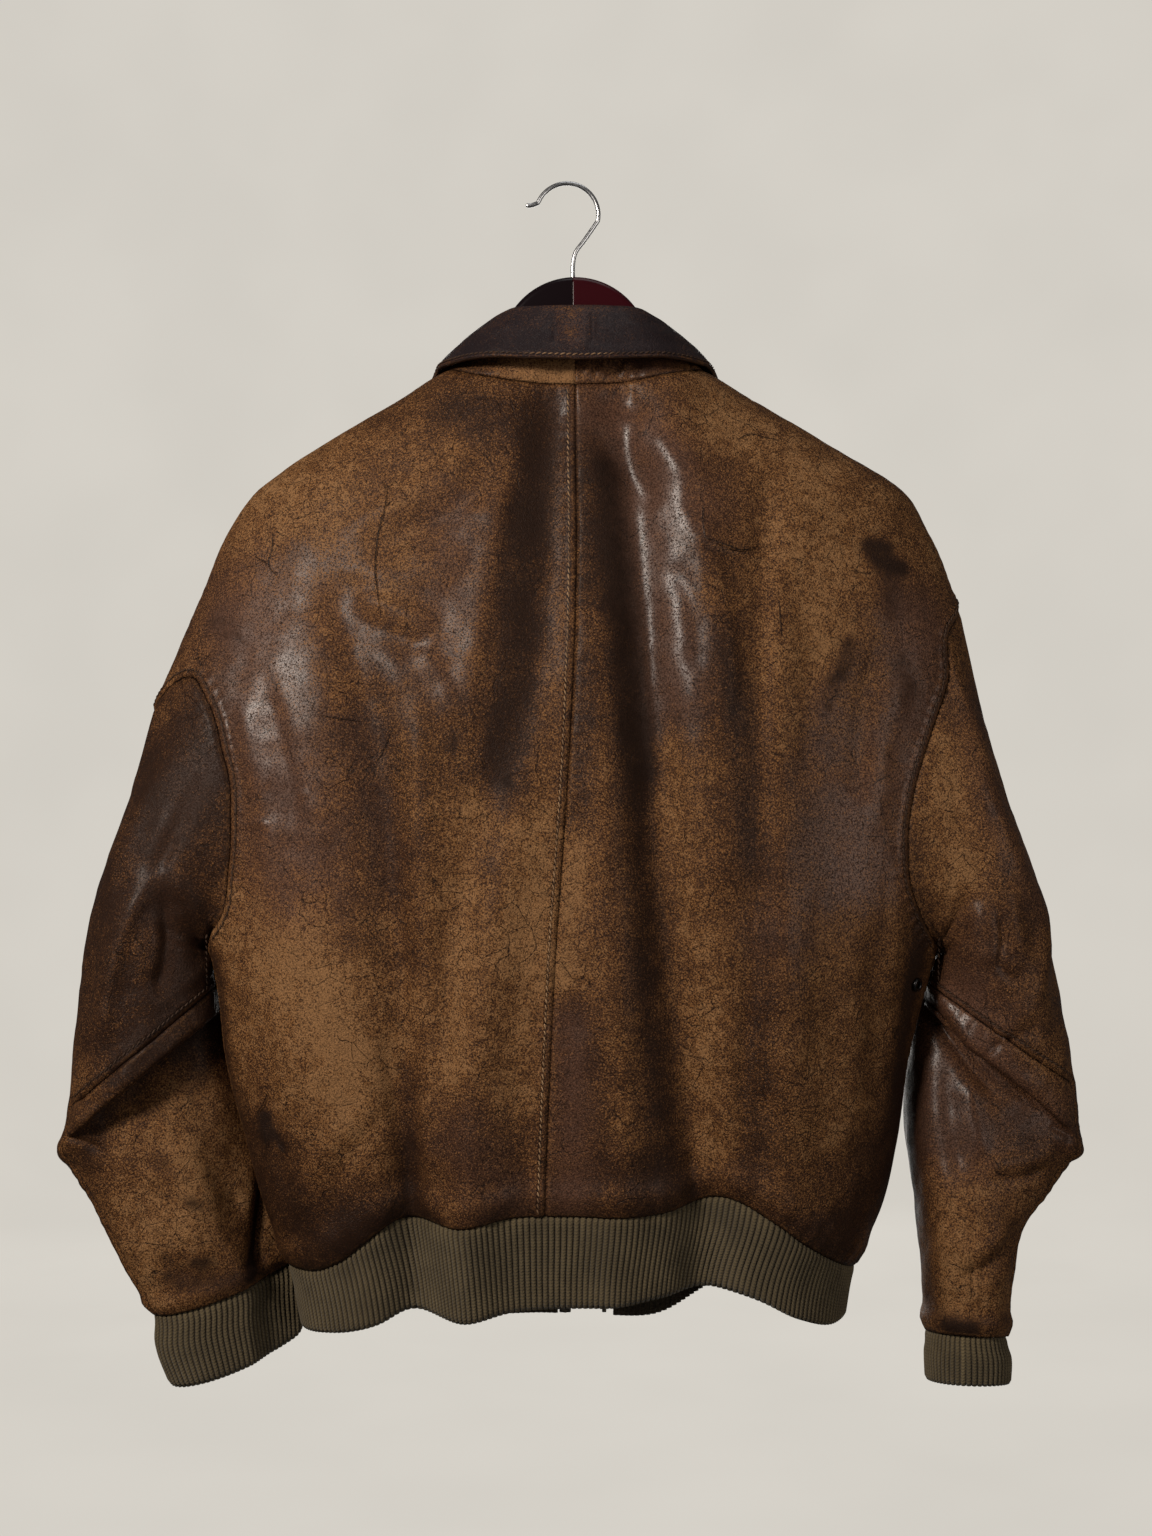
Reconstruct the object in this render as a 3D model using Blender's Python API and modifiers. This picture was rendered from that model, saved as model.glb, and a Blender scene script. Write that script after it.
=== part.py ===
"""A worn leather flight jacket with knitted trim, hung unzipped on a wooden hanger.

Frame: +Z up, -Y is the jacket's back, +Y is its front, and the origin is the inner top of the hanger's hook.
Lengths in this file are millimetres, and MM turns them into metres when a mesh is made.

The jacket's body is one smooth surface, torso(angle, height), on which the panels are cut out. A sleeve is a
loft through rings that start at the armhole, fan out to the elbow's overhanging fold and end at the wrist.
Left and right are those of somebody who looks at the jacket's back.
"""

import math
from collections import namedtuple

import bmesh
import bpy
import numpy as np
from mathutils import Matrix, Vector

MM = 0.001

# ---- driving sizes -------------------------------------------------------------------------------------
LEATHER = 2.0  # wall of a leather panel with its seam allowances
KNIT = 3.0  # wall of the ribbed waistband and cuffs
COLLAR = 2.6  # two thin leathers, sewn and turned
SEAM_GAP = 0.3  # between two pieces that are sewn together
ZIP_OPENING = 42.0  # between the two open front edges
CENTRE_X = 5.5  # the middle of the neck and of the hanger
FRONT_END_X = 13.5  # the middle of the opening at the waist
HOOK_WIRE = 3.0
HOOK_RADIUS = 21.3
HOOK_SHANK_X = 4.0
HANGER_THICK = 10.0
HANGER_ROUNDING = 4.6
HANGER_TIP_RADIUS = 10.0
HANGER_CLEARANCE = 5.0  # under the shoulders' flat facets, which touch it at their middles
HANGER_LOWER_Z = -158.0
ARM_INNER_Z = -143.0
ARM_OUTER_Z = -203.0
HANGER_Y = -3.0  # the arms lie just behind the ridge of the shoulders
DOME_RADIUS = 51.0
DOME_TOP_Z = -63.0
EYELET_DIAMETER = 9.3
EYELET_WIRE = 2.5
EYELET_PLACE = (229, -538)  # x and z on the right back panel
CHAIN_WIDTH = 8.0  # tape and teeth
CHAIN_THICK = 2.6
CHAIN_END_LEFT = -750.0  # above the slider
CHAIN_END_RIGHT = -762.0  # above the pin
ZIP_END = -773.0
SLIDER_SIZE = (11.0, 6.0, 14.0)
BOX_SIZE = (8.0, 5.0)
PIN_SIZE = (3.0, 2.6)
BRIDGE_RADIUS = 4.0  # the arch that holds the pull, and half its wire
BRIDGE_WIRE = 0.9
PULL_SIZE = (7.0, 18.0, 1.2)
PULL_WINDOW = (3.6, 6.5)
PULL_BAR = 1.2  # side of the bar that turns under the bridge
PULL_STAND_OFF = 1.25  # from the slider's face to the middle of that bar

# ---- the body ------------------------------------------------------------------------------------------
# One row for each level: how far the body reaches to the left and right, the depth of its two turned
# sides, and the depth of the back and of the front halfway between them.
Level = namedtuple("Level", "z left right side_left side_right back front")
LEVELS = (
    Level(-112, -52, 63, 0, 0, -34, 14),
    Level(-128, -82, 93, 0, 0, -42, 17),
    Level(-146, -111, 123, 0, 0, -47, 19),
    Level(-177, -163, 175, 0, 0, -56, 21),
    Level(-209, -209, 227, 0, 0, -64, 23),
    Level(-237, -229, 244, 0, 0, -70, 25),
    Level(-275, -245, 260, 0, -2, -77, 26),
    Level(-316, -262, 270, -2, -4, -84, 26),
    Level(-362, -279, 270, -4, -6, -89, 26),
    Level(-417, -266, 266, -12, -10, -94, 26),
    Level(-480, -247, 257, -22, -16, -97, 26),
    Level(-540, -232, 241, -28, -14, -98, 26),
    Level(-590, -226, 229, -27, -11, -96, 27),
    Level(-640, -214, 222.5, -24, -8, -92, 28),
    Level(-690, -201, 212, -18, -5, -84, 29),
    Level(-730, -187, 195, -11, -2, -77, 30),
    Level(-780, -177, 186, -8, -2, -73, 30),
)
BACK_POWER = 2.15  # 2 is an ellipse, and more is squarer
FRONT_POWER = 2.6

# Soft upright folds of the back and the front. A route is (x, z) from top to bottom; rise is how far the
# leather stands out of the smooth body at its two ends, and a hollow has a negative rise.
Fold = namedtuple("Fold", "name route width rise_top rise_end")
BACK_FOLDS = (
    Fold("left broad roll", ((-172, -330), (-165, -600), (-143, -790)), 34, 3, 8),
    Fold("left hollow", ((-142, -290), (-118, -415), (-108, -520), (-101, -650), (-100, -790)), 15, -4, -15),
    Fold("left narrow roll", ((-94, -380), (-92, -500), (-88, -640)), 12, 4, 4),
    Fold("inner left hollow", ((-10, -170), (-22, -330), (-50, -430), (-74, -540), (-82, -660)), 17, -8, -5),
    Fold("left of centre roll", ((-32, -330), (-44, -450), (-60, -593), (-63, -790)), 19, 3, 17),
    Fold("right of centre roll", ((20, -320), (26, -430), (33, -600), (33, -790)), 17, 4, 9),
    Fold("deep right hollow", ((36, -165), (55, -370), (62, -460), (75, -570), (87, -690), (88, -790)), 18, -11, -17),
    Fold("bright right roll", ((66, -150), (89, -250), (94, -350), (102, -450)), 24, 9, 5),
    Fold("outer right hollow", ((130, -230), (124, -400), (121, -480), (122, -650)), 11, -5, -3),
    Fold("outer right roll", ((134, -250), (138, -420), (142, -600), (143, -790)), 24, 3, 14),
    Fold("right broad roll", ((190, -430), (184, -620), (172, -790)), 22, 3, 6),
)
FRONT_FOLDS = (
    Fold("left front roll", ((-118, -260), (-105, -520), (-92, -790)), 26, 4, 8),
    Fold("left front hollow", ((-70, -250), (-58, -520), (-48, -790)), 18, -3, -6),
    Fold("right front hollow", ((84, -250), (72, -520), (62, -790)), 20, -3, -7),
    Fold("right front roll", ((132, -260), (121, -520), (110, -790)), 26, 4, 8),
)
FOLD_FADE = 45.0  # length over which a fold dies away at each end
FOLD_EDGE_FADE = 24.0  # degrees over which folds die away towards the turned sides

# Where the panels are cut. Each route is (x, z) on the body's surface.
CENTRE_BACK = ((5.5, -143), (6, -288), (1, -403), (-6, -505), (-11, -606), (-14, -700), (-14, -790))
ARMHOLE_TOP_LEFT = (-279, -362)
ARMHOLE_TOP_RIGHT = (266, -285)
ARMHOLE_BACK_LEFT = ((-247, -336), (-234, -354), (-222, -391), (-218, -425), (-220, -462), (-227, -495))
ARMHOLE_BACK_RIGHT = ((254, -305), (252, -338), (240, -371), (227, -410), (222, -448), (225, -476), (236, -500))
ARMHOLE_FRONT_LEFT = ((-252, -372), (-228, -396), (-212, -430), (-208, -462), (-216, -492))
ARMHOLE_FRONT_RIGHT = ((246, -330), (226, -370), (214, -410), (211, -448), (222, -490))
UNDERARM_LEFT = (-234, -512)
UNDERARM_RIGHT = (247, -520)
SIDE_SEAM = 84.0  # degrees round from the centre back, below the underarm

# Lower edge of the leather and of the knitted band, (x, z), across the back and across the front.
BACK_HEM = (
    (-190, -728), (-163, -725), (-142, -716), (-124, -704), (-100, -689), (-62, -690), (-30, -684),
    (10, -683), (55, -681), (87, -673), (116, -687), (144, -705), (170, -719), (196, -731),
)
BAND_END = (
    (-182, -771), (-165, -768), (-141, -764), (-118, -758), (-100, -751), (-61, -752), (-30, -747),
    (21, -743), (52, -739), (88, -735), (118, -741), (150, -755), (172, -763), (190, -765),
)
FRONT_HEM = ((-190, -728), (-100, -720), (-12, -716), (40, -716), (92, -697), (140, -706), (196, -731))
FRONT_BAND_END = ((-182, -771), (-100, -770), (-12, -773), (40, -773), (92, -751), (140, -762), (190, -765))
FRONT_HEM_Z = -716.0  # at the front edges

# ---- the sleeves ---------------------------------------------------------------------------------------
# One row for each ring after the armhole: its outer and inner ends (x, y, z), how far its back and its
# front stand off the line between them, how much its back hangs below or above that line, how far it is
# set in and up under the fold that overhangs the elbow, and the depth of the fold that sets the inner
# third of the back further in.
Ring = namedtuple("Ring", "name outer inner back front sag under tuck")
LEFT_RINGS = (
    Ring("upper 1", (-298, -3, -430), (-241.2, -8, -514), 54, 30, 0, 0, 0),
    Ring("upper 2", (-319, -5, -495), (-238.8, -5, -521), 58, 32, 0, 0, 0),
    Ring("upper 3", (-329, -7, -570), (-236.5, -4, -529), 57, 32, -2, 0, 0),
    Ring("seam", (-333, -8, -622), (-233.6, -3, -539), 56, 32, -4, 0, 0),
    Ring("crest", (-338, -8, -641), (-231.3, -3, -555), 56, 34, -4, 0, 0),
    Ring("trough", (-341, -7, -649), (-229, 1, -553), 54, 28, -4, 23, 0),
    Ring("below trough", (-341, -7, -655), (-227.5, 2, -567), 50, 28, -5, 18, 0),
    Ring("elbow", (-335, -7, -663), (-224, 3, -594), 44, 29, -2, 5, 2),
    Ring("forearm 1", (-324, -8, -679), (-214.5, 6, -630), 42, 30, -2, 0, 5),
    Ring("forearm 2", (-310, -10, -702), (-205, 10, -664), 42, 30, -3, 0, 10),
    Ring("forearm 3", (-297, -12, -727), (-194, 14, -698), 40, 26, -5, 0, 14),
    Ring("wrist", (-278, -13, -757), (-184, 17, -727), 33, 20, -8, 0, 14),
    Ring("cuff middle", (-276, -13, -780), (-182, 16, -751), 33, 19, -8, 0, 12),
    Ring("cuff end", (-267, -13, -806), (-181, 15, -779), 29, 17, -8, 0, 11),
)
RIGHT_RINGS = (
    Ring("upper 1", (287, -3, -390), (250, -4, -522), 54, 30, 0, 0, 0),
    Ring("upper 2", (312, -5, -470), (247.8, -1, -526), 58, 32, 0, 0, 0),
    Ring("upper 3", (331, -6, -550), (245.2, 1, -531), 56, 32, -2, 0, 0),
    Ring("seam", (340, -6, -606), (243, 2, -538), 52, 32, -4, 0, 0),
    Ring("crest", (344, -6, -636), (240, 3, -552), 50, 32, -4, 0, 0),
    Ring("trough", (346, -6, -647), (239.5, 6, -551), 48, 28, -4, 18, 0),
    Ring("below trough", (346, -6, -654), (237, 5, -565), 46, 28, -5, 13, 0),
    Ring("elbow", (337, -6, -662), (232.5, 4, -592), 43, 29, -2, 3, 0),
    Ring("forearm 1", (322, -6, -681), (230.5, 1, -630), 44, 30, -2, 0, 0),
    Ring("forearm 2", (304, -7, -705), (234, -3, -668), 46, 31, -3, 0, 0),
    Ring("forearm 3", (299, -8, -733), (239, -6, -710), 46, 31, -4, 0, 0),
    Ring("wrist", (295, -8, -778), (243, -8, -775), 40, 27, 7, 0, 0),
    Ring("cuff middle", (298, -8, -794), (242, -8, -792), 40, 27, 7, 0, 0),
    Ring("cuff end", (298, -8, -810), (243, -8, -809), 37, 24, 6, 0, 0),
)
UNDER_START = 0.12  # the overhanging fold grows from here to there, counted from the outer end
UNDER_FULL = 0.6
UNDER_RISE = 0.45  # how far the leather under it is drawn up, for each millimetre that it is set in
TUCK_PLACE = 0.60  # how far round the back, from the outer end, the tucked third starts
TUCK_WIDTH = 0.10
TUCK_END = 0.75  # where it starts to come out again towards the inner end
SEAM_RING = 4  # counted from the armhole, the ring whose back the elbow's seam follows
WRIST_RING = 12
ELBOW_SEAM = 0.17  # where the back seam turns down the forearm, as a share of the way round the back
FRONT_SEAM = 0.74  # where the front seam runs, as a share of the way round the front

# ---- the collar ----------------------------------------------------------------------------------------
# One row for each station from the centre back round to the front edge: the neck seam on the body as
# (distance from the middle, z), and the fold line and the leaf's edge as (distance, y, z). Both halves of
# the neck use it.
Station = namedtuple("Station", "name seam fold edge")
COLLAR_STATIONS = (
    Station("centre back", (0, -143), (0, -35, -92), (0, -60, -129)),
    Station("back", (24, -142), (24, -34, -92), (30, -58, -128)),
    Station("back quarter", (46, -139), (42, -28, -93), (58, -50, -126)),
    Station("behind shoulder", (70, -133.5), (62, -15, -103), (82, -29, -126)),
    Station("shoulder", (87.5, -128), (74, 2, -113), (95, 3, -127)),
    Station("front shoulder", (86, -147), (73, 17, -131), (103, 28, -149)),
    Station("front", (68, -172), (57, 28, -156), (97, 38, -186)),
    Station("point", (42, -191), (34, 33, -178), (78, 43, -224)),
    Station("front edge", (21, -202), (20, 34, -192), (31, 41, -212)),
)
NECK_POINT = 4  # the station on the shoulder
STAND_BELOW_FOLD = 3.5
FOLD_HIGH = 3.2  # how far the leaf rises over the stand, and reaches out, where it turns down
FOLD_WIDE = 4.4
LEAF_BULGE = 2.0

# ---- materials: colour, roughness, metallic -----------------------------------------------------------
MATERIALS = {
    "leather": ((0.13, 0.07, 0.035), 0.45, 0.0),
    "sleeve_leather": ((0.09, 0.045, 0.03), 0.4, 0.0),
    "collar_leather": ((0.025, 0.017, 0.018), 0.4, 0.0),
    "knit": ((0.09, 0.07, 0.045), 0.95, 0.0),
    "wood": ((0.035, 0.006, 0.008), 0.3, 0.0),
    "steel": ((0.45, 0.45, 0.46), 0.3, 1.0),
    "zip_metal": ((0.02, 0.02, 0.022), 0.4, 0.9),
}


# ---- curves and tables ---------------------------------------------------------------------------------
def through(points, at):
    """A smooth curve through points, read at the shares `at` of its length."""
    points = np.asarray(points, float)
    share = np.concatenate([[0], np.cumsum(np.linalg.norm(np.diff(points, axis=0), axis=1))])
    return smooth(share / share[-1], points, at)


def smooth(knots, values, at):
    """A cubic through values at rising knots, flat past its ends."""
    knots = np.asarray(knots, float)
    values = np.asarray(values, float)
    at = np.clip(np.asarray(at, float), knots[0], knots[-1])
    slope = np.gradient(values, knots, axis=0)
    low = np.clip(np.searchsorted(knots, at, "right") - 1, 0, len(knots) - 2)
    span = knots[low + 1] - knots[low]
    part = (at - knots[low]) / span
    extra = (1,) * (values.ndim - 1)
    part, span = part.reshape(part.shape + extra), span.reshape(span.shape + extra)
    start = values[low] * (1 + 2 * part) + slope[low] * span * part
    end = values[low + 1] * (3 - 2 * part) - slope[low + 1] * span * (1 - part)
    return start * (1 - part) ** 2 + end * part**2


def step(low, high, value):
    """0 below low, 1 above high, smooth between."""
    part = np.clip((np.asarray(value, float) - low) / (high - low), 0, 1)
    return part * part * (3 - 2 * part)


def level(name, z):
    rows = LEVELS[::-1]
    return smooth([row.z for row in rows], [getattr(row, name) for row in rows], z)


# ---- the body's surface --------------------------------------------------------------------------------
def folds_at(folds, x, z):
    """How far the folds lift the surface at (x, z)."""
    lift = np.zeros(np.broadcast(x, z).shape)
    for fold in folds:
        route = np.array(fold.route[::-1], float)
        top, end = route[-1, 1], route[0, 1]
        middle = smooth(route[:, 1], route[:, 0], z)
        rise = fold.rise_top + (fold.rise_end - fold.rise_top) * np.clip((top - z) / (top - end), 0, 1)
        fade = step(end - FOLD_FADE, end, z) * (1 - step(top, top + FOLD_FADE, z))
        lift += rise * fade * np.exp(-(((x - middle) / fold.width) ** 2))
    return lift


def torso(angle, z):
    """The body's surface. The angle is 0 at the centre back, -90 at the left side, 90 at the right side
    and 180 either way at the front."""
    angle, z = np.broadcast_arrays(np.asarray(angle, float), np.asarray(z, float))
    across, along = np.sin(np.radians(angle)), np.cos(np.radians(angle))
    back = along > 0
    power = 2 / np.where(back, BACK_POWER, FRONT_POWER)
    left, right = level("left", z), level("right", z)
    x = (left + right) / 2 + (right - left) / 2 * np.sign(across) * np.abs(across) ** power
    side_left, side_right = level("side_left", z), level("side_right", z)
    side = (side_left + side_right) / 2 + (side_right - side_left) / 2 * across
    depth = np.where(back, level("back", z), level("front", z))
    y = side + (depth - side) * np.abs(along) ** power
    edge = step(0, FOLD_EDGE_FADE, np.abs(np.abs(angle) - 90))
    lift = np.where(back, -folds_at(BACK_FOLDS, x, z), folds_at(FRONT_FOLDS, x, z))
    return np.stack([x, y + edge * lift, z], axis=-1)


def angle_of(x, z, front=False):
    """The angle at which the body's surface is at x."""
    left, right = level("left", z), level("right", z)
    share = np.clip((x - (left + right) / 2) / ((right - left) / 2), -1, 1)
    power = (FRONT_POWER if front else BACK_POWER) / 2
    turn = np.degrees(np.arcsin(np.abs(share) ** power))
    return np.where(share < 0, -1, 1) * ((180 - turn) if front else turn)


def on_body(route, front=False):
    """An (x, z) route as (angle, z)."""
    route = np.asarray(route, float)
    return np.stack([angle_of(route[:, 0], route[:, 1], front), route[:, 1]], axis=-1)


def torso_normal(angle, z):
    """Unit normals of the body's surface, pointing out."""
    round_it = torso(angle + 0.5, z) - torso(angle - 0.5, z)
    up_it = torso(angle, z + 0.5) - torso(angle, z - 0.5)
    return unit(np.cross(round_it, up_it))


def unit(vectors):
    return vectors / np.maximum(np.linalg.norm(vectors, axis=-1, keepdims=True), 1e-9)


def station(column, at):
    """A column of the collar's table, read smoothly at places counted in stations."""
    return smooth(range(len(COLLAR_STATIONS)), [getattr(row, column) for row in COLLAR_STATIONS], at)


def neck_seam(side, at):
    """(angle, z) of the neck seam at places counted in stations."""
    sign = -1 if side == "left" else 1
    x, z = (station("seam", at) * (sign, 1) + (CENTRE_X, 0)).T
    angle = np.where(np.asarray(at) > NECK_POINT, angle_of(x, z, True), angle_of(x, z))
    return np.stack([np.where(np.asarray(at) == NECK_POINT, sign * 90.0, angle), z], axis=-1)


def front_edge_x(side, z):
    """Where the leather of a front ends, beside the zip."""
    share = (np.asarray(z, float) - COLLAR_STATIONS[-1].seam[1]) / (FRONT_HEM_Z - COLLAR_STATIONS[-1].seam[1])
    middle = CENTRE_X + (FRONT_END_X - CENTRE_X) * np.clip(share, 0, 1)
    return middle + (-1 if side == "left" else 1) * ZIP_OPENING / 2


def hem_z(angle):
    """Lower edge of the leather, from the angle round the body."""
    return edge_z(angle, BACK_HEM, FRONT_HEM)


def band_z(angle):
    """Lower edge of the knitted waistband."""
    return edge_z(angle, BAND_END, FRONT_BAND_END)


def edge_z(angle, back_edge, front_edge):
    """Height at an angle of an edge that is given as (x, z), between the same sides front and back."""
    across = (1 + np.sin(np.radians(angle))) / 2
    heights = []
    for edge in (front_edge, back_edge):
        x, z = np.array(edge, float).T
        heights.append(smooth(x, z, x[0] + (x[-1] - x[0]) * across))
    return np.where(np.abs(angle) > 90, *heights)


# ---- grids: rows and columns of points on a surface ---------------------------------------------------
def patch(top, outer, bottom, inner):
    """Points between four edges: top and bottom run from the inner to the outer edge, and the other two
    run down. The shapes of the top and the bottom fade quickly, so that rows settle between the sides."""
    down = np.linspace(0, 1, len(outer))[:, None, None]
    across = np.linspace(0, 1, len(top))[None, :, None]
    ruled = (1 - across) * inner[:, None] + across * outer[:, None]
    top_shape = top - ruled[0]
    bottom_shape = bottom - ruled[-1]
    return ruled + (1 - down) ** 3 * top_shape + down**3 * bottom_shape


def armhole_route(side, front):
    """(angle, z) down one armhole, from its top to the underarm."""
    left = side == "left"
    top = ARMHOLE_TOP_LEFT if left else ARMHOLE_TOP_RIGHT
    end = UNDERARM_LEFT if left else UNDERARM_RIGHT
    if front:
        middle = ARMHOLE_FRONT_LEFT if left else ARMHOLE_FRONT_RIGHT
    else:
        middle = ARMHOLE_BACK_LEFT if left else ARMHOLE_BACK_RIGHT
    sign = -1 if left else 1
    route = on_body(middle, front)
    underarm = (sign * SIDE_SEAM, end[1])
    return np.array([(sign * 90, top[1]), *route, underarm])


def panel_grid(side, front, cells):
    """(angle, z) points of one body panel. cells are the counts across the neck, along the shoulder, down
    the armhole and down the side."""
    neck_cells, shoulder_cells, armhole_cells, side_cells = cells
    sign = -1 if side == "left" else 1
    armhole = armhole_route(side, front)
    top_z, underarm_z = armhole[0, 1], armhole[-1, 1]
    seam = sign * SIDE_SEAM
    rows, columns = armhole_cells + side_cells + 1, neck_cells + shoulder_cells + 1
    neck = neck_seam(side, np.linspace(len(COLLAR_STATIONS) - 1 if front else 0, NECK_POINT, neck_cells + 1))
    if front:
        inner_z = np.linspace(neck[0, 1], FRONT_HEM_Z, rows)
        inner_x = front_edge_x(side, inner_z)
    else:
        centre = np.array(CENTRE_BACK[::-1], float)
        inner_z = np.linspace(neck[0, 1], float(hem_z(0)), rows)
        inner_x = smooth(centre[:, 1], centre[:, 0], inner_z)
    inner = np.stack([angle_of(inner_x, inner_z, front), inner_z], axis=-1)
    neck[0] = inner[0]
    neck_point_z = neck[-1, 1]
    shoulder_z = neck_point_z + (top_z - neck_point_z) * np.linspace(0, 1, shoulder_cells + 1)[1:]
    shoulder = np.stack([np.full(shoulder_cells, sign * 90.0), shoulder_z], axis=-1)
    top = np.concatenate([neck, shoulder])
    side_z = np.linspace(underarm_z, float(hem_z(seam)), side_cells + 1)[1:]
    outer = np.concatenate([
        through(armhole, np.linspace(0, 1, armhole_cells + 1)),
        np.stack([np.full(side_cells, seam), side_z], axis=-1),
    ])
    turns = np.linspace(inner[-1, 0], seam, columns)
    bottom = np.stack([turns, hem_z(turns)], axis=-1)
    return patch(top, outer, bottom, inner)


def ring_points(ring, back_cells, front_cells):
    """A ring's points, from its outer end round the back to its inner end and home round the front."""
    outer, inner = np.array(ring.outer, float), np.array(ring.inner, float)
    part = np.linspace(0, 1, back_cells + 1)[:, None]
    bulge = np.sin(math.pi * part) ** 0.8
    back = outer + (inner - outer) * (1 - np.cos(math.pi * part)) / 2
    tuck = ring.tuck * step(TUCK_PLACE, TUCK_PLACE + TUCK_WIDTH, part) * (1 - step(TUCK_END, 1, part))
    under = ring.under * step(UNDER_START, UNDER_FULL, part)
    back = back + np.array([0, -1, 0]) * ((ring.back - under) * bulge - tuck)
    back = back + np.array([0, 0, 1]) * (ring.sag + UNDER_RISE * under) * bulge
    part = np.linspace(0, 1, front_cells + 1)[1:-1, None]
    front = inner + (outer - inner) * (1 - np.cos(math.pi * part)) / 2
    front = front + np.array([0, 1, 0]) * ring.front * np.sin(math.pi * part) ** 0.8
    return np.concatenate([back, front])


def armhole_points(side, back_cells, front_cells):
    """The armhole as the sleeve's first ring, with the body's normals there."""
    back = through(armhole_route(side, False), np.linspace(0, 1, back_cells + 1))
    front = through(armhole_route(side, True), np.linspace(1, 0, front_cells + 1))[1:-1]
    route = np.concatenate([back, front])
    return torso(route[:, 0], route[:, 1]), torso_normal(route[:, 0], route[:, 1])


def sleeve_grid(side, rings, back_cells, front_cells, between):
    """Rows of points down a sleeve, with `between` rows from each ring to the next."""
    first, _ = armhole_points(side, back_cells, front_cells)
    stack = np.stack([first] + [ring_points(ring, back_cells, front_cells) for ring in rings])
    knots = np.arange(len(stack))
    rows = []
    for start, count in zip(knots, between):
        rows += [start + part / count for part in range(count)]
    rows = np.array(rows + [knots[-1]], float)
    return smooth(knots, stack, rows), rows


# ---- walls --------------------------------------------------------------------------------------------
def grid_normals(points, closed=False):
    """Unit normals of a grid of points whose rows run down and whose columns run to the right of
    somebody who looks at its outside."""
    if closed:
        round_it = np.roll(points, -1, axis=1) - np.roll(points, 1, axis=1)
    else:
        round_it = np.gradient(points, axis=1)
    return unit(np.cross(np.gradient(points, axis=0), round_it))


def wall(name, points, normals, thickness, material, keep=None, closed=False, edge_gap=SEAM_GAP):
    """A solid wall of even thickness about the kept cells of a grid. Its open edges stand back by half a
    seam's gap."""
    rows, columns = points.shape[:2]
    cell_columns = columns if closed else columns - 1
    if keep is None:
        keep = np.ones((rows - 1, cell_columns), bool)
    flat, flat_normals = points.reshape(-1, 3).copy(), normals.reshape(-1, 3)
    quads = []
    for row, column in zip(*np.nonzero(keep)):
        after = (column + 1) % columns
        quads.append((row * columns + column, row * columns + after,
                      (row + 1) * columns + after, (row + 1) * columns + column))
    edges = {pair: quad for quad in quads for pair in zip(quad, quad[1:] + quad[:1])}
    rim = {pair: quad for pair, quad in edges.items() if pair[::-1] not in edges}
    pull_back(flat, rim, edge_gap / 2)
    used = sorted({point for quad in quads for point in quad})
    place = {point: index for index, point in enumerate(used)}
    outside = flat[used] + flat_normals[used] * thickness / 2
    inside = flat[used] - flat_normals[used] * thickness / 2
    count = len(used)
    faces = [[place[point] for point in quad] for quad in quads]
    faces += [[place[point] + count for point in quad[::-1]] for quad in quads]
    faces += [[place[end], place[start], place[start] + count, place[end] + count] for start, end in rim]
    mesh = bpy.data.meshes.new(name)
    mesh.from_pydata((np.concatenate([outside, inside]) * MM).tolist(), [], faces)
    mesh.validate()
    bm = bmesh.new()
    bm.from_mesh(mesh)
    bmesh.ops.triangulate(bm, faces=bm.faces)
    bmesh.ops.recalc_face_normals(bm, faces=bm.faces)
    bm.to_mesh(mesh)
    bm.free()
    return place_object(name, mesh, material)


def pull_back(points, rim, distance):
    """Moves the rim's points into the surface, at right angles to the rim."""
    ways = {}
    for pair, quad in rim.items():
        start, end = points[list(pair)]
        along = unit(end - start)
        inward = points[list(quad)].mean(axis=0) - start
        inward = unit(inward - along * (inward @ along))
        for point in pair:
            ways.setdefault(point, []).append(inward)
    for point, inwards in ways.items():
        middle = unit(np.mean(inwards, axis=0))
        points[point] += middle * distance / max(middle @ inwards[0], 0.5)


def place_object(name, mesh, material):
    thing = bpy.data.objects.new(name, mesh)
    jacket.objects.link(thing)
    thing.data.materials.clear()
    thing.data.materials.append(make_material(name, *MATERIALS[material]))
    return thing


def make_material(name, colour, roughness, metallic):
    material = bpy.data.materials.new(name)
    material.use_nodes = True
    shader = material.node_tree.nodes["Principled BSDF"]
    shader.inputs["Base Color"].default_value = (*colour, 1)
    shader.inputs["Roughness"].default_value = roughness
    shader.inputs["Metallic"].default_value = metallic
    return material


# ---- the pieces ----------------------------------------------------------------------------------------
SLEEVE_BACK_CELLS = 12
SLEEVE_FRONT_CELLS = 8
SLEEVE_ROWS_BETWEEN = (2, 2, 2, 1, 1, 1, 1, 1, 1, 1, 1, 2, 1, 1)
BACK_NECK_CELLS = 9
FRONT_NECK_CELLS = 5
SHOULDER_CELLS = 9
SIDE_CELLS = 4
BACK_CELLS = (BACK_NECK_CELLS, SHOULDER_CELLS, SLEEVE_BACK_CELLS, SIDE_CELLS)
FRONT_CELLS = (FRONT_NECK_CELLS, SHOULDER_CELLS, SLEEVE_FRONT_CELLS, SIDE_CELLS)


def sleeve_surface(side):
    """Rows of points and normals down one sleeve and its cuff, with each row's place in rings. At the
    armhole the normals lie halfway between the sleeve's and the body's, so that both walls share them."""
    rings = LEFT_RINGS if side == "left" else RIGHT_RINGS
    points, rows = sleeve_grid(side, rings, SLEEVE_BACK_CELLS, SLEEVE_FRONT_CELLS, SLEEVE_ROWS_BETWEEN)
    normals = grid_normals(points, True) * (1 if side == "left" else -1)
    _, body = armhole_points(side, SLEEVE_BACK_CELLS, SLEEVE_FRONT_CELLS)
    normals[0] = unit(normals[0] + body)
    return points, normals, rows


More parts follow.
